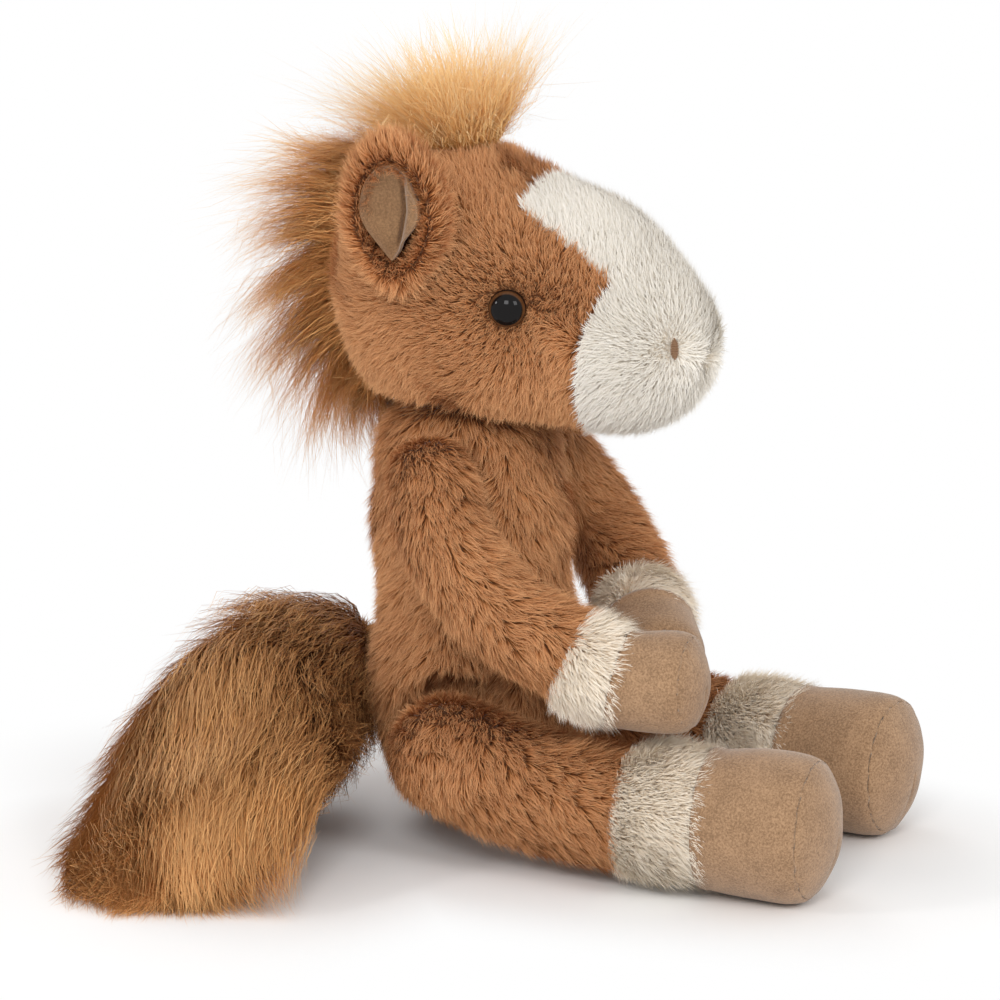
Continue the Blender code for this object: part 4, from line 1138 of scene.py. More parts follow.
@dataclass
class Torso:
    """The body: a belly panel that runs round the seat, and two back panels."""

    belly_halves: tuple = (0.038, 0.039, 0.0525)
    seat_press: float = 0.0025
    chest_halves: tuple = (0.033, 0.036, 0.042)
    chest_height: float = 0.106
    chest_setback: float = 0.003
    blend: float = 0.016
    neck_dome: float = 0.033
    channel_half_width: float = 0.024
    leg_radius: float = 0.0215
    joint_gap: float = 0.0009
    arm_room: float = 0.0181
    recess_blend: float = 0.004
    hub_height: float = 0.07925
    skin_floor: float = 0.0016
    inner_floor: float = 0.003
    seat_angle: float = 24
    belly_angle: float = 100
    seat_rings: int = 8
    belly_columns: int = 24
    back_columns: int = 16
    pile: Pile = Pile()

    def plain(self, points: np.ndarray) -> np.ndarray:
        """The torso with nothing pressed into it."""
        belly = ellipsoid(points, np.array((0, 0, self.belly_halves[2] - self.seat_press)),
                          self.belly_halves)
        chest = ellipsoid(points, np.array((0, self.chest_setback, self.chest_height)),
                          self.chest_halves)
        dome = ball(points, pivot("neck_nod"), self.neck_dome)
        return np.minimum(blend_union(belly, chest, self.blend), dome)

    def channel(self, points: np.ndarray) -> np.ndarray:
        """The room for both thighs."""
        hip = pivot("leg_left_swing")
        past_side = self.channel_half_width - np.abs(points[..., 0])
        offset = points[..., 1:] - hip[1:]
        corner = size_of(np.maximum(offset, 0))
        quadrant = corner + np.minimum(offset.max(axis=-1), 0) - self.leg_radius - self.joint_gap
        return np.maximum(past_side, quadrant)

    def pockets(self, points: np.ndarray) -> list[np.ndarray]:
        """The distances to the rooms that other parts are pressed into."""
        return [self.channel(points), *(ball(points, pivot(f"arm_{side.word}_swing"),
                                             self.arm_room) for side in Side)]

    def field(self, points: np.ndarray) -> np.ndarray:
        """The torso as it is."""
        form = self.plain(points)
        for pocket in self.pockets(points):
            form = blend_cut(form, pocket, self.recess_blend)
        return form

    def build(self) -> None:
        """Sews the panels and grows their pile."""
        hub = np.array((0, self.chest_setback, self.hub_height))
        polar = spread((0, self.seat_angle, 180), (self.seat_rings, 56))
        around = spread((0, self.belly_angle, 180), (self.belly_columns, self.back_columns))
        directions = radial(polar, all_round(around), np.array((0, 0, -1.0)),
                            np.array((0, -1.0, 0)))
        form, inner = (Form(pressed(reach(self.field, hub, directions, depth), floor))
                       for depth, floor in ((SKIN_DEPTH, self.skin_floor),
                                            (SKIN_DEPTH + SKIN_THICKNESS, self.inner_floor)))
        place = np.arange(form.segments)[None, :]
        belly = ((place < self.belly_columns) | (place >= form.segments - self.belly_columns)
                 | (form.ring < self.seat_rings))
        right = place < self.belly_columns + self.back_columns
        panels = {"torso_belly_panel": (belly, ("torso_stuffing",)),
                  "torso_back_right": (~belly & right, ()),
                  "torso_back_left": (~belly & ~right, ())}
        for seed, (name, (keep, hidden)) in enumerate(panels.items()):
            panel = sewn(name, form, inner, keep, BROWN_BACKING_PAINTED_SHADE, "torso", *hidden)
            self.grow(f"{name}_pile", panel, seed)

    def grow(self, name: str, panel: Panel, seed: int) -> None:
        """Grows the pile of one panel.

        Args:
            name: The name of the pile.
            panel: The cloth.
            seed: Which scatter.
        """
        points, normals = panel.points, panel.normals
        flow = (np.array((0, 0.1, -1)) + drift(points, 0.014, seed) * 0.35
                + drift(points, 0.004, seed + 5) * 0.5)
        open_cloth = fade(np.minimum.reduce(self.pockets(points)), 0.0005, 0.004)
        below_head = 1 - fade(points[:, 2], 0.142, 0.150)
        off_floor = fade(points[:, 2] + normals[:, 2] * 0.003, 0.0, 0.006)
        length = (0.45 + 0.55 * fade(points[:, 2], 0.004, 0.02)) * (0.4 + 0.6 * open_cloth)
        growth = combed(panel, flow, self.pile, length,
                        (0.35 + 0.65 * open_cloth) * below_head * off_floor,
                        drift(points, 0.02, seed + 9)[:, 0] * 0.06)
        STRANDS.grow(name, growth, self.pile, BROWN, seed + 11, "torso")


@dataclass
class Head:
    """The head: two brown sides and a cream panel that is the muzzle and the blaze."""

    rise: float = 0.063
    cranium_halves: tuple = (0.047, 0.046, 0.047)
    brow_halves: tuple = (0.035, 0.040, 0.030)
    brow_reach: float = 0.033
    brow_rise: float = 0.003
    muzzle_halves: tuple = (0.031, 0.033, 0.031)
    muzzle_reach: float = 0.057
    muzzle_drop: float = 0.017
    jowl_halves: tuple = (0.040, 0.047, 0.028)
    jowl_reach: float = 0.012
    jowl_drop: float = 0.022
    blend: float = 0.012
    socket_radius: float = 0.0356
    recess_blend: float = 0.004
    hub_offset: tuple = (0, -0.012, -0.004)
    tilt: float = 14
    seam_angle: float = 33
    blaze_end: float = 76
    muzzle_rings: int = 15
    blaze_rings: int = 18
    blaze_columns: int = 10
    cream_depth: float = 0.0022
    dimple_depth: float = 0.0016
    dimple_width: float = 0.010
    bridge_half_angle: float = 47
    blaze_half_angle: float = 33
    pile: Pile = Pile(length=0.0058, width=0.0004, density=4.5e6, rise=0.9, lay=0.38,
                      clump_size=0.0028, clump_pull=0.7)
    cream: Pile = Pile(length=0.0056, rise=0.75, lay=0.5, clump_size=0.0045, clump_pull=0.12,
                       frizz=0.0017, density=5.4e6, width=0.00052, softness=0.9)

    @property
    def centre(self) -> np.ndarray:
        """The middle of the cranium."""
        return pivot("neck_nod") + (0, 0, self.rise)

    @property
    def hub(self) -> np.ndarray:
        """The point from which the head's surface is measured."""
        return self.centre + self.hub_offset

    def plain(self, points: np.ndarray) -> np.ndarray:
        """The head with nothing pressed into it."""
        form = ellipsoid(points, self.centre, self.cranium_halves)
        lobes = (((0, -self.brow_reach, self.brow_rise), self.brow_halves),
                 ((0, -self.jowl_reach, -self.jowl_drop), self.jowl_halves),
                 ((0, -self.muzzle_reach, -self.muzzle_drop), self.muzzle_halves))
        for offset, halves in lobes:
            form = blend_union(form, ellipsoid(points, self.centre + offset, halves), self.blend)
        return form

    def field(self, points: np.ndarray) -> np.ndarray:
        """The head as it is, with the room for the neck."""
        socket = ball(points, pivot("neck_nod"), self.socket_radius)
        return blend_cut(self.plain(points), socket, self.recess_blend)

    @property
    def pole(self) -> np.ndarray:
        """The way the muzzle points."""
        return bearing(0, -self.tilt)

    def directions(self) -> np.ndarray:
        """The directions of the grid, whose lines follow the seams."""
        tilt = math.radians(self.tilt)
        up = np.array((0, -math.sin(tilt), math.cos(tilt)))
        polar = spread((0, self.seam_angle, self.blaze_end, 180),
                       (self.muzzle_rings, self.blaze_rings, 36))
        seam = np.interp(polar, (self.seam_angle, self.blaze_end),
                         (self.bridge_half_angle, self.blaze_half_angle))
        around = [all_round(spread((0, edge, 180), (self.blaze_columns, 38))) for edge in seam]
        return radial(polar, np.array(around), self.pole, up)

    def build(self) -> None:
        """Sews the panels and grows their pile."""
        directions = self.directions()
        form, inner = (Form(self.dimpled(reach(self.field, self.hub, directions, depth)))
                       for depth in (SKIN_DEPTH, SKIN_DEPTH + SKIN_THICKNESS))
        place = np.arange(form.segments)[None, :]
        top = (place < self.blaze_columns) | (place >= form.segments - self.blaze_columns)
        blaze = ((form.ring < self.muzzle_rings)
                 | (top & (form.ring < self.muzzle_rings + self.blaze_rings)))
        right = place < form.segments // 2
        panels = {"head_side_right": (~blaze & right, BROWN, BROWN_BACKING_PAINTED_SHADE, ()),
                  "head_side_left": (~blaze & ~right, BROWN, BROWN_BACKING_PAINTED_SHADE, ()),
                  "head_blaze_muzzle": (blaze, CREAM, CREAM_BACKING, ("head_stuffing",))}
        raised = Form(self.dimpled(reach(self.field, self.hub, directions, self.cream_depth)))
        for seed, (name, (keep, finish, backing, hidden)) in enumerate(panels.items()):
            cloth = raised if finish is CREAM else form
            panel = sewn(name, cloth, inner, keep, backing, "head", *hidden)
            self.grow(f"{name}_pile", panel, finish, seed)

    def dimpled(self, points: np.ndarray) -> np.ndarray:
        """The cloth drawn in a little where an eye is set."""
        for side in Side:
            seat, axis = EYES[side].place(self)
            near = np.exp(-(size_of(points - seat) / self.dimple_width) ** 2)
            points = points - axis * self.dimple_depth * near[..., None]
        return points

    def grow(self, name: str, panel: Panel, finish: PileFinish, seed: int) -> None:
        """Grows the pile of one panel.

        Args:
            name: The name of the pile.
            panel: The cloth.
            finish: The pile's finish.
            seed: Which scatter.
        """
        points, normals = panel.points, panel.normals
        from_pole = points - self.hub
        out = unit(from_pole - self.pole * (from_pole @ self.pole)[:, None])
        below = 1 - fade(points[:, 2] - self.centre[2], -0.030, 0.010)
        flow = out * 0.35 - self.pole + np.array((0, 0, 1.0)) * (0.5 - 1.5 * below)[:, None]
        flow = (tangent(flow, normals) + drift(points, 0.010, seed + 20) * 0.75
                + drift(points, 0.004, seed + 25) * 0.7)
        if finish is CREAM:
            flow = tangent(out, normals) * 0.7 + drift(points, 0.010, seed + 20) * 0.15
        length = np.ones(len(points))
        cover = np.ones(len(points))
        for side in Side:
            away = points - EYES[side].place(self)[0]
            distance = size_of(away)
            flow = flow + unit(away) * (3.4 * np.exp(-distance / 0.018))[:, None]
            length *= 0.42 + 0.58 * fade(distance, 0.006, 0.020)
            cover *= fade(distance, 0.0052, 0.0064)
            away = points - NOSTRILS.place(self, side)[0]
            distance = size_of(away)
            flow = flow + unit(away) * (2.4 * np.exp(-distance / 0.014))[:, None]
            length *= 0.45 + 0.55 * fade(distance, 0.002, 0.010)
        cover *= fade(ball(points, pivot("neck_nod"), self.socket_radius), 0.0022, 0.0045)
        angle = np.degrees(np.arccos(np.clip(unit(from_pole) @ self.pole, -1, 1)))
        seam = np.exp(-np.abs(angle - self.seam_angle - 4) / 5)
        tone = drift(points, 0.018, seed + 30)[:, 0] * 0.06
        if finish is BROWN:
            tone = tone + seam * 0.3
        pile = self.pile if finish is BROWN else self.cream
        growth = combed(panel, flow, pile, length, cover, tone)
        STRANDS.grow(name, growth, pile, finish, seed + 41, "head")


@dataclass(frozen=True)
class Eye:
    """A glossy dome on a post, set in the cloth."""

    side: Side
    radius: float = 0.0062
    dome: float = 0.0046
    rim: float = 0.0014
    sink: float = 0.0026
    turn: float = 62
    lift: float = 2
    segments: int = 64

    def place(self, head: Head) -> tuple[np.ndarray, np.ndarray]:
        """Where the eye's axis leaves the head, and which way it looks."""
        aim = bearing(self.side.value * self.turn, self.lift)
        point = reach(head.field, head.hub, aim[None])[0]
        step = 0.0003
        slope = np.array([head.field(point + move) - head.field(point - move)
                          for move in np.eye(3) * step])
        return point, unit(slope)

    def build(self, head: Head) -> None:
        """Turns the dome about its axis and keeps the place of its rings.

        Args:
            head: The head, which carries it.
        """
        point, axis = self.place(head)
        rows = [(0.0, -self.rim)]
        rows += [(self.radius * share, -self.rim) for share in (0.5, 0.9)]
        rows += [(self.radius * (0.9 + 0.1 * math.sin(angle)),
                  -self.rim + self.radius * 0.1 * (1 - math.cos(angle)))
                 for angle in np.linspace(0.3, math.pi / 2, 4)]
        rows += [(self.radius * math.cos(angle), self.dome * math.sin(angle))
                 for angle in np.linspace(0.0, math.pi / 2, 24)[:-1]]
        rows.append((0.0, self.dome))
        rows = np.array(rows)
        angles = turns(self.segments)[:, None]
        across = unit(np.array((0.0, 0, 1)) - axis * axis[2])
        other = np.cross(axis, across)
        seat = point - axis * (self.sink - self.rim)
        grid = (seat + rows[:, 1][:, None, None] * axis
                + rows[:, 0][:, None, None] * (np.cos(angles) * across + np.sin(angles) * other))
        form = Form(grid)
        piece = closed_object(f"eye_{self.side.word}_dome", form)
        offset = form.panel().points - seat
        height = offset @ axis
        flat = offset - axis * height[:, None]
        ring = size_of(flat) / self.radius
        keep_values(piece.data, "ring", np.where(height < 0, 1.0, ring))
        keep_values(piece.data, "turn", unit(flat + 1e-9))
        dress(piece, EYE, "head", f"eye_{self.side.word}")
        washer = frame["nodes"][f"eye_{self.side.word}_washer"]
        for slot in washer.material_slots:
            slot.material = WASHER.build()
        LOG.info("eye_%s_dome set", self.side.word)


EYES = {side: Eye(side) for side in Side}


def stitch_tree() -> bpy.types.NodeTree:
    """Geometry Nodes that lay rows of thread across an oval."""
    plan = new_group("satin_stitches", {
        "Int": ("Stitches", "Seed"), "Float": ("Half Width", "Half Height", "Thread"),
        "Material": ("Material",)})
    given = plan.node("NodeGroupInput")
    share = plan.node("GeometryNodeInputIndex")["Index"] / (given["Stitches"] - 1.0)
    up = share * 2 - 1
    wide = (1.02 - up * up).clamped(0.05, 1) ** 0.5
    line = plan.node("GeometryNodeMeshLine", {}, {"Count": given["Stitches"]})["Mesh"]
    place = plan.vector(Y=up * given["Half Height"])
    line = plan.node("GeometryNodeSetPosition", {},
                     {"Geometry": line, "Position": place})["Geometry"]
    thread = plan.node("GeometryNodeMeshIcoSphere", {},
                       {"Radius": 1.0, "Subdivisions": 2})["Mesh"]
    ragged = plan.node("FunctionNodeRandomValue", {"data_type": "FLOAT"},
                       {2: 0.9, 3: 1.12, "Seed": given["Seed"]})[1]
    size = plan.vector(X=wide * given["Half Width"] * ragged, Y=given["Thread"],
                       Z=given["Thread"] * (wide * 0.8 + 0.6))
    copies = plan.node("GeometryNodeInstanceOnPoints", {},
                       {"Points": line, "Instance": thread, "Scale": size})["Instances"]
    mesh = plan.node("GeometryNodeRealizeInstances", {}, {"Geometry": copies})["Geometry"]
    mesh = plan.node("GeometryNodeSetShadeSmooth", {}, {"Geometry": mesh})["Geometry"]
    mesh = plan.node("GeometryNodeSetMaterial", {}, {
        "Geometry": mesh, "Material": given["Material"]})["Geometry"]
    plan.node("NodeGroupOutput", {}, {"Geometry": mesh})
    return plan.tree


@dataclass
class Nostrils:
    """Two ovals of satin stitch on the muzzle."""

    turn: float = 36
    lift: float = 4
    half_width: float = 0.0017
    half_height: float = 0.0033
    stitches: int = 13
    thread: float = 0.00036
    proud: float = 0.0006

    def place(self, head: Head, side: Side) -> tuple[np.ndarray, np.ndarray]:
        """The middle of a nostril, and which way it faces."""
        aim = bearing(side.value * self.turn, self.lift)
        hub = head.centre + (0, -head.muzzle_reach, -head.muzzle_drop)
        point = reach(head.field, hub, aim[None])[0]
        return point, unit((point - hub) / np.square(head.muzzle_halves))

    def build(self, head: Head) -> None:
        """Lays the stitches on the cloth.

        Args:
            head: The head, whose muzzle carries them.
        """
        tree = stitch_tree()
        for side in Side:
            point, axis = self.place(head, side)
            upright = unit(np.array((0, 0, 1.0)) - axis * axis[2])
            blank = linked("stitch_blank", bpy.data.meshes.new("stitch_blank"))
            piece = run_tree(blank, tree, self, {"Seed": 5, "Material": THREAD.build()},
                             f"nostril_{side.word}_stitches")
            turn_to = Matrix((np.cross(upright, axis), upright, axis)).transposed().to_4x4()
            seat = Vector(point + axis * self.proud)
            piece.data.transform(Matrix.Translation(seat) @ turn_to)
            dress(piece, THREAD, "head", f"nostril_{side.word}")
            LOG.info("nostril_%s stitched", side.word)


NOSTRILS = Nostrils()


@dataclass
class Ear:
    """A plush leaf with a velour lining that is folded at its front edge."""

    side: Side
    half_width: float = 0.016
    half_height: float = 0.025
    half_thickness: float = 0.0055
    point_share: float = 0.45
    hollow: tuple = ((0.0, -0.45), (0.24, -0.4), (0.44, -0.2), (0.58, 0.2))
    back: tuple = ((0.68, 0.7), (0.79, 1.0), (0.91, 0.82), (1.0, 0.12), (0.95, -0.5),
                   (0.72, -0.85), (0.38, -1.0), (0.0, -1.0))
    lining_rise: float = 0.0022
    lining: tuple = ((0.0, -0.45), (0.24, -0.4), (0.44, -0.2), (0.56, 0.1), (0.64, 0.5))
    turn: float = 106
    lift: float = 9
    facing: float = 80
    lean_out: float = 6
    seam_gap: float = 0.00012
    step: float = 0.00015
    skin_depth: float = 0.0010
    crease: float = 0.0030
    segments: int = 72
    pile: Pile = Pile(length=0.0072, width=0.0004, rise=0.85, lay=0.45, density=5.5e6, droop=0.0,
                      clump_size=0.003)

    @property
    def name(self) -> str:
        """The ear's name, which is its body's name too."""
        return f"ear_{self.side.word}"

    @property
    def lean_back(self) -> float:
        """How far the ear lies back."""
        return 0 if self.side is Side.RIGHT else 50

    def smooth_rows(self, rows: tuple, steps: int) -> np.ndarray:
        """A smooth line through rows, with steps between each two."""
        spine = Spine([np.array((wide, proud, 0.0)) for wide, proud in rows])
        lengths = np.linspace(0, spine.lengths[-1], steps * (len(rows) - 1) + 1)
        return spine.at(lengths)[0][:, :2]

    def grid(self, rows: np.ndarray, inset: float, depth: float) -> np.ndarray:
        """Rings of the ear in its own frame: across, up and facing."""
        around = turns(self.segments)
        wide = np.maximum(rows[:, 0], 0)[:, None] * (1 - inset)
        low = np.clip(-np.sin(around) * wide, 0, 1)
        across = np.cos(around) * wide * self.half_width * (1 - self.point_share * low ** 2)
        up = np.sin(around) * wide * self.half_height
        facing = np.broadcast_to(rows[:, 1][:, None] * self.half_thickness + depth, up.shape)
        return np.stack([across, up, facing], axis=-1)

    def frame(self, head: Head) -> tuple[np.ndarray, np.ndarray]:
        """The middle of the ear, and its across, up and facing directions as rows."""
        side = self.side.value
        base = reach(head.plain, head.hub, bearing(side * self.turn, self.lift)[None])[0]
        back, out = math.radians(self.lean_back), math.radians(self.lean_out)
        up = np.array((side * math.sin(out), math.cos(out) * math.sin(back),
                       math.cos(out) * math.cos(back)))
        facing = bearing(side * self.facing, 0)
        facing = unit(facing - up * (facing @ up))
        axes = np.stack([np.cross(up, facing), up, facing])
        middle = base + up * self.half_height
        leaf = self.grid(np.array(self.hollow + self.back), 0, 0)
        while head.plain(leaf @ axes + middle).min() < self.seam_gap:
            middle = middle + facing * self.step
        return middle, axes

    def build(self, head: Head) -> None:
        """Makes the leaf, its pile and its lining.

        Args:
            head: The head, which the ear stands on.
        """
        middle, axes = self.frame(head)
        grid = self.grid(self.smooth_rows(self.hollow + self.back, 4), 0, 0)
        form = Form(drawn_in(grid, self.skin_depth) @ axes + middle)
        dress(closed_object(f"{self.name}_cloth", form), BROWN_BACKING_PAINTED_SHADE, self.name,
              f"{self.name}_outer", fill=0.5)
        self.grow_pile(form, middle, axes)
        self.line(middle, axes)

    def grow_pile(self, form: Form, middle: np.ndarray, axes: np.ndarray) -> None:
        """Grows the pile of the back and the rim.

        Args:
            form: The ear's cloth.
            middle: Its middle.
            axes: Its own directions.
        """
        panel = form.panel(form.ring >= 4)
        points = panel.points
        own = (points - middle) @ axes.T
        outward = unit(np.stack([own[:, 0], own[:, 1], np.zeros(len(own))], axis=-1)) @ axes
        flow = outward * 0.9 + axes[1] * 0.5 + drift(points, 0.01, 3) * 0.3
        rim = np.exp(-((size_of(own[:, :2] / (self.half_width, self.half_height)) - 0.9)
                       / 0.2) ** 2)
        upper = (own[:, 1] - self.lining_rise) / self.half_height / self.lining[-1][0]
        wide = self.half_width * self.lining[-1][0] * self.narrowed(upper)
        bare = np.hypot(own[:, 0] / wide, upper) < 0.9
        front = (panel.normals @ axes[2]) > 0
        growth = combed(panel, flow, self.pile, 0.7 + 0.3 * rim,
                        np.where(bare & front, 0.0, 1.0), 0.12 + rim * 0.18)
        STRANDS.grow(f"{self.name}_pile", growth, self.pile, BROWN, 60 + self.side.value,
                     self.name)

    def line(self, middle: np.ndarray, axes: np.ndarray) -> None:
        """Makes the velour lining, with its folded front edge.

        Args:
            middle: The ear's middle.
            axes: Its own directions.
        """
        rows = self.smooth_rows(self.lining, 8)
        back = self.folded(self.grid(rows, 0.0, 0.0004))
        front = self.folded(self.grid(rows, 0.02, 0.0036))
        form = Form(np.concatenate([front, back[::-1]]) @ axes + middle)
        dress(closed_object(f"{self.name}_lining_velour", form), EAR_VELOUR, self.name,
              f"{self.name}_lining", fill=0.3)
        LOG.info("%s lined", self.name)

    def folded(self, grid: np.ndarray) -> np.ndarray:
        """The lining, pointed at its foot, with a roll along its front edge and a crease there."""
        lifted = grid.copy()
        lifted[..., 0] *= self.narrowed(grid[..., 1] / self.half_height / self.lining[-1][0])
        front = -self.side.value * lifted[..., 0] / self.half_width
        upper = grid[..., 1] / self.half_height
        edge = 0.50 - 0.30 * np.clip(-upper, 0, 1)
        tall = 1 - fade(np.abs(upper + 0.02), 0.32, 0.55)
        roll = np.exp(-((front - edge + 0.04) / 0.15) ** 2) * tall
        crease = np.exp(-((front - edge + 0.26) / 0.05) ** 2) * tall
        lifted[..., 2] += roll * self.crease - crease * self.crease
        lifted[..., :2] += np.stack([self.side.value * 0.0010 * roll,
                                     np.full(roll.shape, self.lining_rise)], axis=-1)
        return lifted

    @staticmethod
    def narrowed(upper: np.ndarray) -> np.ndarray:
        """How wide the lining is at a share of its height, which ends in a point at its foot."""
        return 1 - 0.72 * np.clip(-upper, 0, 1) ** 1.6


@dataclass
class LimbSizes:
    """The sizes of an arm or a leg."""

    radius: float
    cuff_radius: float
    hoof_radius: float
    length: float
    cuff_length: float
    hoof_length: float
    sole_depth: float
    seam_share: float = 0.93


ARM_SIZES = LimbSizes(0.0165, 0.0185, 0.017, 0.127, 0.020, 0.025, 0.005)
LEG_SIZES = LimbSizes(0.0215, 0.0235, 0.025, 0.138, 0.030, 0.036, 0.008)


@dataclass
class StuffedLimb:
    """An arm or a leg: a brown upper part, a cream cuff, a velour hoof and a velour sole."""

    kind: Limb
    side: Side
    sizes: LimbSizes
    spine: Spine
    segments: int = 56
    part_angle: float = 0
    part_share: float = 0
    pile: Pile = Pile()
    cuff_pile: Pile = Pile(length=0.0076, rise=0.8, lay=0.5, curl=0.25, droop=0.1,
                           clump_size=0.004, clump_pull=0.15, frizz=0.0019, density=5.4e6,
                           width=0.00056, softness=0.9)

    @property
    def name(self) -> str:
        """The limb's name, which is its body's name too."""
        return f"{self.kind.word}_{self.side.word}"

    def rows(self) -> tuple[np.ndarray, np.ndarray]:
        """Rows of length and radius, and the rows of the three seams."""
        sizes = self.sizes
        cuff = sizes.length - sizes.sole_depth - sizes.hoof_length - sizes.cuff_length
        hoof = cuff + sizes.cuff_length
        sole = hoof + sizes.hoof_length
        narrow = (sizes.radius + sizes.hoof_radius) / 2
        cap = cap_rows(sizes.radius, 9)
        shaft = profile(np.linspace(0, cuff, 22)[1:-1], sizes.radius)
        share = np.linspace(0, 1, 10)[:-1]
        swell = (sizes.cuff_radius - sizes.radius) * np.sin(math.pi * share) ** 0.7
        cuff_rows = profile(cuff + sizes.cuff_length * share,
                            sizes.radius + (narrow - sizes.radius) * share + swell)
        share = np.linspace(0, 1, 22)[:-1]
        grown = narrow + (sizes.hoof_radius - narrow) * np.sin(
            math.pi / 2 * np.minimum(share / 0.7, 1))
        drawn = 1 - (1 - sizes.seam_share) * np.maximum((share - 0.7) / 0.3, 0) ** 2
        hoof_rows = profile(hoof + sizes.hoof_length * share, grown * drawn)
        angles = np.linspace(0, math.pi / 2, 13)
        sole_rows = profile(sole + sizes.sole_depth * np.sin(angles) ** 2,
                            sizes.hoof_radius * sizes.seam_share * np.cos(angles))
        seams = np.cumsum([len(cap) + len(shaft), len(cuff_rows), len(hoof_rows)])
        return np.concatenate([cap, shaft, cuff_rows, hoof_rows, sole_rows]), seams

    def build(self) -> None:
        """Sews the four parts and grows the pile of the first two."""
        rows, (cuff, hoof, sole) = self.rows()
        surface = pressed(self.spine.swept(rows, self.segments))
        form = Form(self.velour_shaped(surface, rows, hoof, sole))
        plush, inner, thin = (Form(drawn_in(surface, depth)) for depth in
                              (SKIN_DEPTH, SKIN_DEPTH + SKIN_THICKNESS, VELOUR_THICKNESS))
        ring = form.ring
        plush_parts = (
            (self.kind.value, ring < cuff, BROWN_BACKING_PAINTED_SHADE, BROWN, self.pile, 70,
             (f"{self.name}_stuffing",)),
            ("cuff", (ring >= cuff) & (ring < hoof), CREAM_BACKING, CUFF, self.cuff_pile, 80, ()))
        for part, keep, backing, finish, pile, seed, hidden in plush_parts:
            panel = sewn(f"{self.name}_{part}", plush, inner, keep, backing, self.name, *hidden)
            self.grow(f"{self.name}_{part}_pile", panel, rows, finish, pile, seed)
        for part, keep in (("hoof", (ring >= hoof) & (ring < sole)), ("sole", ring >= sole)):
            sewn(f"{self.name}_{part}", form, thin, keep, VELOUR, self.name)
        LOG.info("%s sewn", self.name)

    def velour_shaped(self, grid: np.ndarray, rows: np.ndarray, hoof: int,
                      sole: int) -> np.ndarray:
        """The hoof with its seams drawn in and small puckers beside them.

        Args:
            grid: The limb's surface.
            rows: Its rows of length and radius.
            hoof: The row where the hoof starts.
            sole: The row of the sole's seam.

        Returns:
            The surface to sew.
        """
        form = Form(grid)
        lengths = rows[:, 0][:, None]
        turn = turns(self.segments)[None, :]
        radius = np.maximum(rows[:, 1][:, None], 0.001)
        at_sole = np.exp(-np.abs(lengths - rows[sole, 0]) / 0.0011)
        under = np.abs(np.angle(np.exp(1j * (turn - math.pi)))) * radius
        at_back = np.exp(-under / 0.0011) * fade(lengths, rows[hoof, 0], rows[hoof, 0] + 0.002)
        pucker = 1 + 0.5 * np.sin(turn * 23 + np.sin(turn * 5) * 2)
        puffed = fade(lengths, rows[hoof, 0], rows[hoof, 0] + 0.004)
        depth = (0.0004 + 0.0009 * np.maximum(at_sole, at_back * 0.7) * pucker) * puffed
        soft = drift(form.points, 0.006, 5)[:, 0].reshape(depth.shape) * 0.0003 * puffed
        moved = form.points - form.normals * (depth + soft).reshape(-1, 1)
        return pressed(moved.reshape(grid.shape))

    def grow(self, name: str, panel: Panel, rows: np.ndarray, finish: PileFinish, pile: Pile,
             seed: int) -> None:
        """Grows the pile of one part.

        Args:
            name: The name of the pile.
            panel: The cloth.
            rows: The limb's rows.
            finish: The pile's finish.
            pile: Its sizes.
            seed: Which scatter.
        """
        points, normals = panel.points, panel.normals
        ring, place = np.divmod(panel.used, self.segments)
        turn = turns(self.segments)[place]
        _, along, side, other = self.spine.at(rows[ring, 0])
        angle = turn + math.pi / 2
        round_it = -np.sin(angle)[:, None] * side + np.cos(angle)[:, None] * other
        parted = np.sin(angle - math.radians(self.part_angle))[:, None] * self.part_share
        cap = 1 - fade(rows[ring, 0], 0.2 * self.sizes.radius, 1.6 * self.sizes.radius)
        over = np.array((0, -0.4, -1.2))
        flow = along * (0.3, 1, 1) + round_it * parted + np.array((0, 0, -0.3))
        flow = (flow + (over - flow) * cap[:, None] + drift(points, 0.012, seed) * 0.3
                + drift(points, 0.004, seed + 3) * 0.45)
        off_floor = fade(points[:, 2] + normals[:, 2] * 0.004, 0.0, 0.005)
        length = 0.75 + 0.25 * fade(rows[ring, 0], -0.3 * self.sizes.radius, 0.01)
        tone = drift(points, 0.016, seed + 2)[:, 0] * 0.06
        growth = combed(panel, flow, pile, length, off_floor, tone)
        STRANDS.grow(name, growth, pile, finish, seed + self.side.value, self.name)


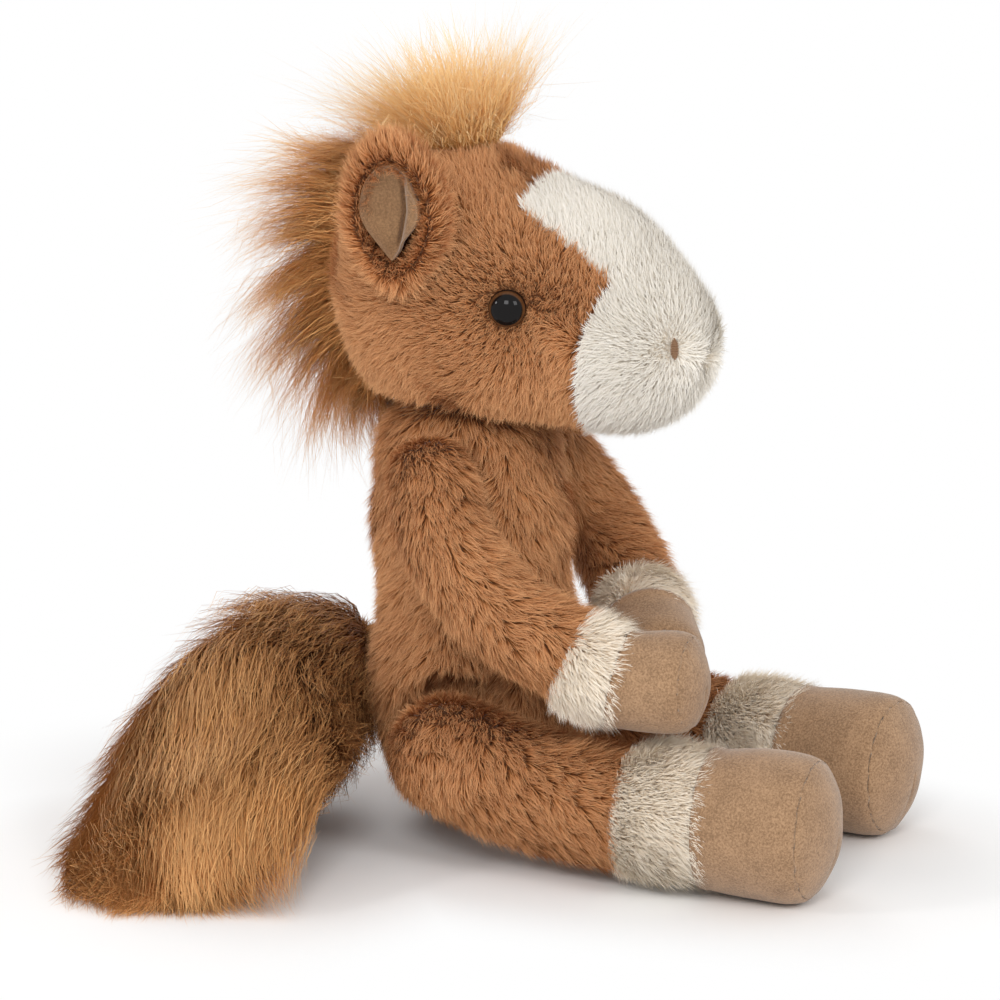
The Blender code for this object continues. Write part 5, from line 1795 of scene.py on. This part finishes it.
@dataclass
class Posture:
    """How the limbs lie: the shares run forward, down and sideways from the joint."""

    right_arm: tuple = ((0.0, 0.0, 0.0), (0.10, 0.26, 0.7), (0.29, 0.57, 0.9), (0.52, 0.76, 0.5),
                        (0.68, 0.86, 0.2), (0.86, 0.94, 0.0), (1.0, 1.0, -0.1))
    left_arm: tuple = ((0.0, 0.0, 0.0), (0.08, 0.2, 0.6), (0.26, 0.46, 0.9), (0.52, 0.72, 0.4),
                       (0.78, 0.9, -0.8), (1.0, 1.0, -1.9))
    right_arm_run: tuple = (0.104, 0.069, 0.012)
    left_arm_run: tuple = (0.066, 0.073, 0.020)
    leg_path: tuple = ((0.0, 0.0, 0.0), (0.22, 0.68, 0.0), (0.45, 0.98, 0.26), (0.7, 1.0, 0.66),
                       (1.0, 1.0, 1.0))
    leg_inward: float = 0.008
    floor_press: float = 0.0005
    lap_gap: float = 0.0024
    step: float = 0.0003
    leg_outline: tuple = ((0, 0.0215), (0.064, 0.0215), (0.072, 0.0229), (0.079, 0.0235),
                          (0.094, 0.0233), (0.119, 0.025), (0.13, 0.0233), (0.138, 0.0))

    def leg(self, side: Side) -> Spine:
        """The middle line of a leg."""
        start = pivot(f"leg_{side.word}_swing")
        drop = start[2] - LEG_SIZES.hoof_radius + self.floor_press
        return Spine([start + np.array((-side.value * self.leg_inward * inward,
                                        -LEG_SIZES.length * forward, -drop * down))
                      for forward, down, inward in self.leg_path])

    def arm(self, side: Side, torso: Torso) -> Spine:
        """The middle line of an arm, clear of the torso and resting over the leg.

        Args:
            side: Which arm.
            torso: The torso.

        Returns:
            The line.
        """
        right = side is Side.RIGHT
        ahead, drop, out = self.right_arm_run if right else self.left_arm_run
        path = self.right_arm if right else self.left_arm
        start = pivot(f"arm_{side.word}_swing")
        points = [start + np.array((side.value * out * aside, -ahead * forward, -drop * down))
                  for forward, down, aside in path]
        room = ARM_SIZES.cuff_radius
        leg = self.leg(side)
        lengths = np.linspace(0, LEG_SIZES.length, 240)
        middles = leg.at(lengths)[0]
        around = np.interp(lengths, *zip(*self.leg_outline))
        for point in points[1:]:
            while torso.plain(point) < room + torso.joint_gap:
                point[0] += side.value * self.step
            while ball(middles, point, around).min() < room + self.lap_gap:
                point[2] += self.step
        return Spine(points)


@dataclass
class Mane:
    """A crest of long hair down the back of the head."""

    start_angle: float = 60
    end_angle: float = -42
    half_width: float = 0.008
    height: float = 0.046
    sweep: float = 0.020
    rises: tuple = (0.3, 0.5, 0.68, 0.84, 0.95, 1.0, 1.0, 0.98, 0.96, 0.94, 0.92, 0.9, 0.86,
                    0.8, 0.7, 0.58, 0.4)
    pile: Pile = Pile(density=9.0e6, width=0.00032, steps=6, shortest=0.3, clump_size=0.011,
                      clump_pull=1.5, frizz=0.007, wave=0.004, softness=0.35)

    def build(self, head: Head) -> None:
        """Grows the crest.

        Args:
            head: The head, which carries it.
        """
        angles = np.linspace(self.start_angle, self.end_angle, 60)
        across = np.linspace(-1, 1, 9)
        rises = np.interp(np.linspace(0, 1, 60), np.linspace(0, 1, len(self.rises)), self.rises)
        strands = []
        for angle, rise in zip(np.radians(angles), rises):
            out = np.array((0, math.cos(angle), math.sin(angle)))
            trail = np.array((0, math.sin(angle), -math.cos(angle)))
            for share in across:
                aim = unit(out + np.array((share * self.half_width / 0.055, 0, 0)))
                root = reach(head.plain, head.hub, aim[None], 0.002)[0]
                length = self.height * rise * (1 - 0.22 * share ** 2)
                lean = np.array((share * 0.26, 0, 0))
                strands.append((root, aim, (out * 1.25 + lean) * length,
                                trail * self.sweep * rise * 1.5 - out * 0.12 * length
                                + np.array((share * 0.003, 0, -0.006))))
        points, normals, aims, bends = np.swapaxes(strands, 0, 1)
        growth = Growth(points, quads(len(angles), len(across), closed=False), normals, aims,
                        bends + drift(points, 0.010, 77) * 0.006,
                        tone=drift(points, 0.012, 78)[:, 0] * 0.08 + 0.2)
        STRANDS.grow("mane_hair", growth, self.pile, HAIR, 91, "head", "mane")


@dataclass
class Forelock:
    """A tuft of long hair on top of the head."""

    angle: float = 73
    radius: float = 0.015
    height: float = 0.035
    sweep: float = 0.004
    flare: float = 0.034
    rings: int = 7
    segments: int = 28
    pile: Pile = Pile(density=12.0e6, width=0.00030, steps=6, shortest=0.25, clump_size=0.006,
                      clump_pull=1.1, frizz=0.010, wave=0.004, softness=0.35)

    def build(self, head: Head) -> None:
        """Grows the tuft.

        Args:
            head: The head, which carries it.
        """
        angle = math.radians(self.angle)
        out = np.array((0, math.cos(angle), math.sin(angle)))
        across = np.array((1.0, 0, 0))
        along = np.cross(out, across)
        strands = []
        for ring in range(self.rings + 1):
            for place in range(self.segments):
                turn = 2 * math.pi * place / self.segments
                flat = across * math.cos(turn) + along * math.sin(turn)
                wide = self.radius * ring / self.rings
                aim = unit(out + flat * wide / 0.06)
                share = ring / self.rings
                strands.append((reach(head.plain, head.hub, aim[None], 0.001)[0], aim,
                                out * self.height * (1.1 - 0.2 * share)
                                + flat * self.flare * share,
                                np.array((0, self.sweep, 0)) + flat * 0.010 * share))
        points, normals, aims, bends = np.swapaxes(strands, 0, 1)
        growth = Growth(points, quads(self.rings + 1, self.segments), normals, aims, bends,
                        tone=0.05)
        STRANDS.grow("forelock_hair", growth, self.pile, GOLDEN, 93, "head", "forelock")


@dataclass
class Tail:
    """A folded core in a brush of long hair that lies on the floor."""

    half_width: float = 0.048
    half_height: float = 0.033
    reach_back: float = 0.015
    sideways: float = 0.136
    floor_press: float = 0.0005
    fur_start: float = 0.0055
    core_radius: float = 0.006
    core_length: float = 0.066
    root_radius: float = 0.0095
    path: tuple = ((0.0, 0.0, 0.0), (0.46, 0.06, 0.04), (1.0, 0.22, 0.3), (1.0, 0.48, 0.62),
                   (0.4, 0.76, 0.88), (-0.6, 1.0, 1.0))
    brush: tuple = ((0.0, 0.28, 0.42), (0.13, 0.56, 0.82), (0.32, 0.8, 1.0), (0.5, 0.94, 0.82),
                    (0.68, 1.0, 0.6), (0.84, 0.94, 0.42), (0.96, 0.7, 0.32))
    strand: float = 0.046
    drape: float = 0.85
    fill: float = 0.86
    end: float = 1.014
    floor_gap: float = 0.0012
    segments: int = 40
    pile: Pile = Pile(density=0.90e6, width=0.00044, steps=4, shortest=0.55, clump_size=0.009,
                      clump_pull=0.45, frizz=0.0032, wave=0.003, softness=0.5)
    root_pile: Pile = Pile(density=6.0e6, length=0.009, rise=0.6, lay=0.8)

    @cached_property
    def spine(self) -> Spine:
        """The middle of the tail: back from the body, round to the right and down."""
        root = pivot("tail_lift")
        drop = root[2] - self.half_height * self.brush[-1][2] + self.floor_press
        return Spine([root + np.array((-self.sideways * aside, self.reach_back * back,
                                       -drop * down)) for back, aside, down in self.path])

    def build(self) -> None:
        """Makes the core, the dense under-hair, whose dark colour is painted shade deep in the
        brush, and the long hair over it.
        """
        self.build_core()
        shares = np.concatenate([[0.004], np.linspace(0.01, 0.86, 44), np.linspace(0.87, 0.92, 8)])
        grid = self.brushed(shares, self.filled(shares))
        ends = [np.broadcast_to(grid[row].mean(axis=0), grid[row].shape) for row in (0, -1)]
        form = Form(np.concatenate([ends[:1], grid, ends[1:]]))
        dress(closed_object("tail_under_hair", form), UNDER_HAIR_PAINTED_SHADE, "tail", fill=0.5)
        self.grow(shares)

    def brushed(self, shares: np.ndarray, fill: np.ndarray) -> np.ndarray:
        """Rings of the brush.

        Args:
            shares: How far along each ring is.
            fill: How much of the brush's thickness is wanted.

        Returns:
            Rings of points, none below the floor.
        """
        lengths = self.fur_start + (self.spine.lengths[-1] - self.fur_start) * shares
        along, wide, tall = np.array(self.brush).T
        wide = np.interp(shares, along, wide) * self.half_width
        tall = np.interp(shares, along, tall) * self.half_height
        tall = np.minimum(tall, self.spine.at(lengths)[0][:, 2])
        rings = self.spine.swept(profile(lengths, wide * fill), self.segments, tall / wide)
        return pressed(rings, self.floor_gap)

    def filled(self, shares: np.ndarray) -> np.ndarray:
        """How much of the brush the under-hair fills, which is closed at the tip."""
        at_tip = np.clip((shares - 0.6) / 0.32, 0, 1)
        return self.fill * np.maximum(np.sqrt(1 - at_tip ** 2), 0.02)

    def grow(self, shares: np.ndarray) -> None:
        """Grows the long hair, each strand from the under-hair to a place further along.

        Args:
            shares: How far along each ring of the under-hair is.
        """
        shares = np.concatenate([[-0.07, -0.055, -0.04, -0.025, -0.01], shares])
        at_body = 1 - fade(shares, -0.03, 0.10)
        at_tip = fade(shares, 0.6, 0.88)
        fill = self.filled(shares)
        share = fill / self.fill
        roots = self.brushed(shares, fill - 0.26 * at_body)
        step = np.minimum(self.strand / self.spine.lengths[-1], self.end - shares)
        middle = self.brushed(shares + step * (0.45 - 0.25 * at_body),
                              1.06 * share ** 0.6 + 0.55 * at_body)
        end = self.brushed(shares + step * (1 - 0.3 * at_body),
                           1.12 * share ** 0.5 + 0.1 * at_body + 0.22 * at_tip)
        fall = fade(shares, 0.5, 0.85)[:, None]
        end[..., 2] *= 1 - self.drape * fall
        middle[..., 2] *= 1 - 0.3 * self.drape * fall
        middle, end = middle - roots, end - roots
        points = roots.reshape(-1, 3)
        aims = (4 * middle - end).reshape(-1, 3)
        bends = (2 * end - 4 * middle).reshape(-1, 3)
        rows, segments = roots.shape[:2]
        normals = unit(roots - roots.mean(axis=1, keepdims=True)).reshape(-1, 3)
        # Darker near the body and lighter towards the tip; hair facing down is darkened as painted
        # shade, and hair facing up or towards +Y is lightened as painted light.
        tone = (np.repeat(np.interp(shares, (0, 0.5, 0.9), (-0.28, -0.12, 0.42)), segments)
                - 0.3 * np.clip(-normals[:, 2], 0, 1)
                + 0.34 * np.clip((normals[:, 1] + normals[:, 2]) * 0.7, 0, 1))
        growth = Growth(points, quads(rows, segments), normals, aims,
                        bends + drift(points, 0.014, 90) * 0.007,
                        np.repeat(1 + 3.0 * at_body + 1.0 * at_tip, segments),
                        tone + drift(points, 0.014, 95)[:, 0] * 0.12)
        STRANDS.grow("tail_hair", growth, self.pile, TAIL_HAIR, 95, "tail", "tail_fur")

    def build_core(self) -> None:
        """Makes the folded core that the hair is sewn to."""
        steps = np.linspace(self.fur_start, self.core_length, 20)
        rows = np.concatenate([cap_rows(self.root_radius, 8), profile(steps, self.core_radius),
                               [(self.core_length + 0.002, self.core_radius * 0.6),
                                (self.core_length + 0.003, 0)]])
        form = Form(self.spine.swept(rows, 32))
        dress(closed_object("tail_core_cloth", form), BROWN_BACKING_PAINTED_SHADE, "tail", "tail_core",
              fill=0.6)
        near_body = form.panel((form.ring >= 1) & (form.ring < 10))
        ahead = np.diff(self.spine.at(np.array((0.0, 0.02)))[0], axis=0)
        growth = combed(near_body, ahead + drift(near_body.points, 0.004, 98) * 0.006,
                        self.root_pile, tone=-0.1)
        STRANDS.grow("tail_root_pile", growth, self.root_pile, TAIL_HAIR, 97, "tail")


@dataclass
class Neck:
    """The stuffed roll inside the neck seam, which lets the head nod and turn."""

    ball_radius: float = 0.015
    stem_radius: float = 0.008
    stem_length: float = 0.052
    segments: int = 40

    def build(self) -> None:
        """Turns the roll about its axis."""
        rows = [(0.0, -self.ball_radius)]
        meeting = math.asin(self.stem_radius / self.ball_radius)
        for angle in np.linspace(0, math.pi - meeting, 20)[1:]:
            rows.append((self.ball_radius * math.sin(angle), -self.ball_radius * math.cos(angle)))
        top = self.stem_length
        rows += [(self.stem_radius, height) for height in np.linspace(0.016, top - 0.002, 12)]
        rows += [(self.stem_radius * 0.7, top - 0.0005), (0.0, top)]
        rows = np.array(rows)
        angles = turns(self.segments)
        grid = np.stack([rows[:, :1] * np.cos(angles), rows[:, :1] * np.sin(angles),
                         np.broadcast_to(rows[:, 1:], (len(rows), self.segments))], -1)
        form = Form(grid + pivot("neck_nod"))
        dress(closed_object("neck_roll_cloth", form), BROWN_BACKING_PAINTED_SHADE, "neck", "neck_roll",
              fill=0.9)
        LOG.info("neck_roll_cloth made")


# The studio


@dataclass(frozen=True)
class Lamp:
    """A soft square lamp that looks at the horse."""

    name: str
    place: tuple
    size: float
    power: float


@dataclass
class Studio:
    """A pale floor, soft light and a camera at the photograph's angle."""

    azimuth: float = -65
    elevation: float = 13
    distance: float = 1.3
    target: tuple = (0, -0.008, 0.113)
    lens: float = 137.6
    lamps: tuple = (Lamp("key", (-1.3, -0.4, 0.95), 0.5, 7.0),
                    Lamp("fill", (-0.6, -1.3, 0.85), 0.5, 5.6),
                    Lamp("side", (-1.0, 0.9, 0.75), 0.22, 3.0),
                    Lamp("rim", (0.9, 0.9, 1.1), 0.7, 3.0))
    sky: float = 0.68
    under_legs: tuple = (0.0, -0.04)
    leg_halves: tuple = (0.075, 0.16)
    under_tail: tuple = (-0.07, 0.06)
    tail_halves: tuple = (0.105, 0.07)

    def build(self) -> None:
        """Sets the stage."""
        bpy.context.scene.view_settings.view_transform = "Standard"
        self.place_camera()
        for lamp in self.lamps:
            self.place_lamp(lamp)
        self.light_world()
        self.lay_floor()

    def place_camera(self) -> None:
        """Adds the camera."""
        back = Vector(bearing(self.azimuth, self.elevation))
        data = bpy.data.cameras.new("camera")
        data.lens = self.lens
        data.sensor_width = 36
        data.clip_start = 0.01
        camera = linked("camera", data)
        camera.location = Vector(self.target) + back * self.distance
        camera.rotation_euler = back.to_track_quat("Z", "Y").to_euler()
        bpy.context.scene.camera = camera

    def place_lamp(self, lamp: Lamp) -> None:
        """Adds a lamp.

        Args:
            lamp: Its place, size and power.
        """
        data = bpy.data.lights.new(lamp.name, "AREA")
        data.shape = "SQUARE"
        data.size = lamp.size
        data.energy = lamp.power
        light = linked(lamp.name, data)
        light.location = lamp.place
        aim = Vector(lamp.place) - Vector(self.target)
        light.rotation_euler = aim.to_track_quat("Z", "Y").to_euler()

    def light_world(self) -> None:
        """Makes the background white, and lights the rest softly."""
        world = bpy.data.worlds.new("studio")
        world.use_nodes = True
        bpy.context.scene.world = world
        plan = Plan(world.node_tree)
        plan.fill(plan.tree.nodes["Background"], {
            "Color": (1, 1, 1, 1), "Strength": plan.seen() * (1 - self.sky) + self.sky})

    def lay_floor(self) -> None:
        """Lays the floor, which keeps the horse's shadow and is white further away."""
        mesh = bpy.data.meshes.new("floor")
        frame_mesh = bmesh.new()
        bmesh.ops.create_circle(frame_mesh, cap_ends=True, segments=96, radius=6)
        frame_mesh.to_mesh(mesh)
        frame_mesh.free()
        floor = linked("floor", mesh)
        material = bpy.data.materials.new("pale_floor")
        material.use_nodes = True
        plan = Plan(material.node_tree)
        place = plan.node("ShaderNodeTexCoord")["Object"]
        ovals = []
        for middle, halves in ((self.under_legs, self.leg_halves),
                               (self.under_tail, self.tail_halves)):
            offset = place - plan.vector(X=middle[0], Y=middle[1])
            offset = offset / plan.vector(X=halves[0], Y=halves[1], Z=1.0)
            ovals.append(offset.maths("LENGTH", output=1))
        away = plan.step(plan.maths("MINIMUM", *ovals), 1.0, 1.6)
        white = plan.node("ShaderNodeEmission", {}, {"Color": (1, 1, 1, 1), "Strength": 1.0})
        shader = plan.tree.nodes["Principled BSDF"]
        plan.fill(shader, {"Base Color": (0.96, 0.96, 0.96, 1), "Roughness": 0.9})
        mixed = plan.node("ShaderNodeMixShader", {}, {
            0: away * plan.seen(), 1: Placed(plan, shader)["BSDF"], 2: white["Emission"]})
        plan.fill(plan.tree.nodes["Material Output"], {"Surface": mixed["Shader"]})
        mesh.materials.append(material)
        floor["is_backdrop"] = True


def main() -> None:
    """Builds the studio and then the horse, part by part."""
    logging.basicConfig(level=logging.INFO, format="%(name)s: %(message)s")
    Studio().build()
    torso, head = Torso(), Head()
    torso.build()
    head.build()
    for side in Side:
        EYES[side].build(head)
        Ear(side).build(head)
    NOSTRILS.build(head)
    posture = Posture()
    for side in Side:
        StuffedLimb(Limb.ARM, side, ARM_SIZES, posture.arm(side, torso), part_angle=200,
                    part_share=0.5).build()
        StuffedLimb(Limb.LEG, side, LEG_SIZES, posture.leg(side)).build()
    Neck().build()
    Mane().build(head)
    Forelock().build(head)
    Tail().build()
    boxes = {"cad": CAD_BOX, "visual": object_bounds()}
    ({name: [[float(value) for value in corner] for corner in box]
               for name, box in boxes.items()})


if __name__ == "__main__":
    main()
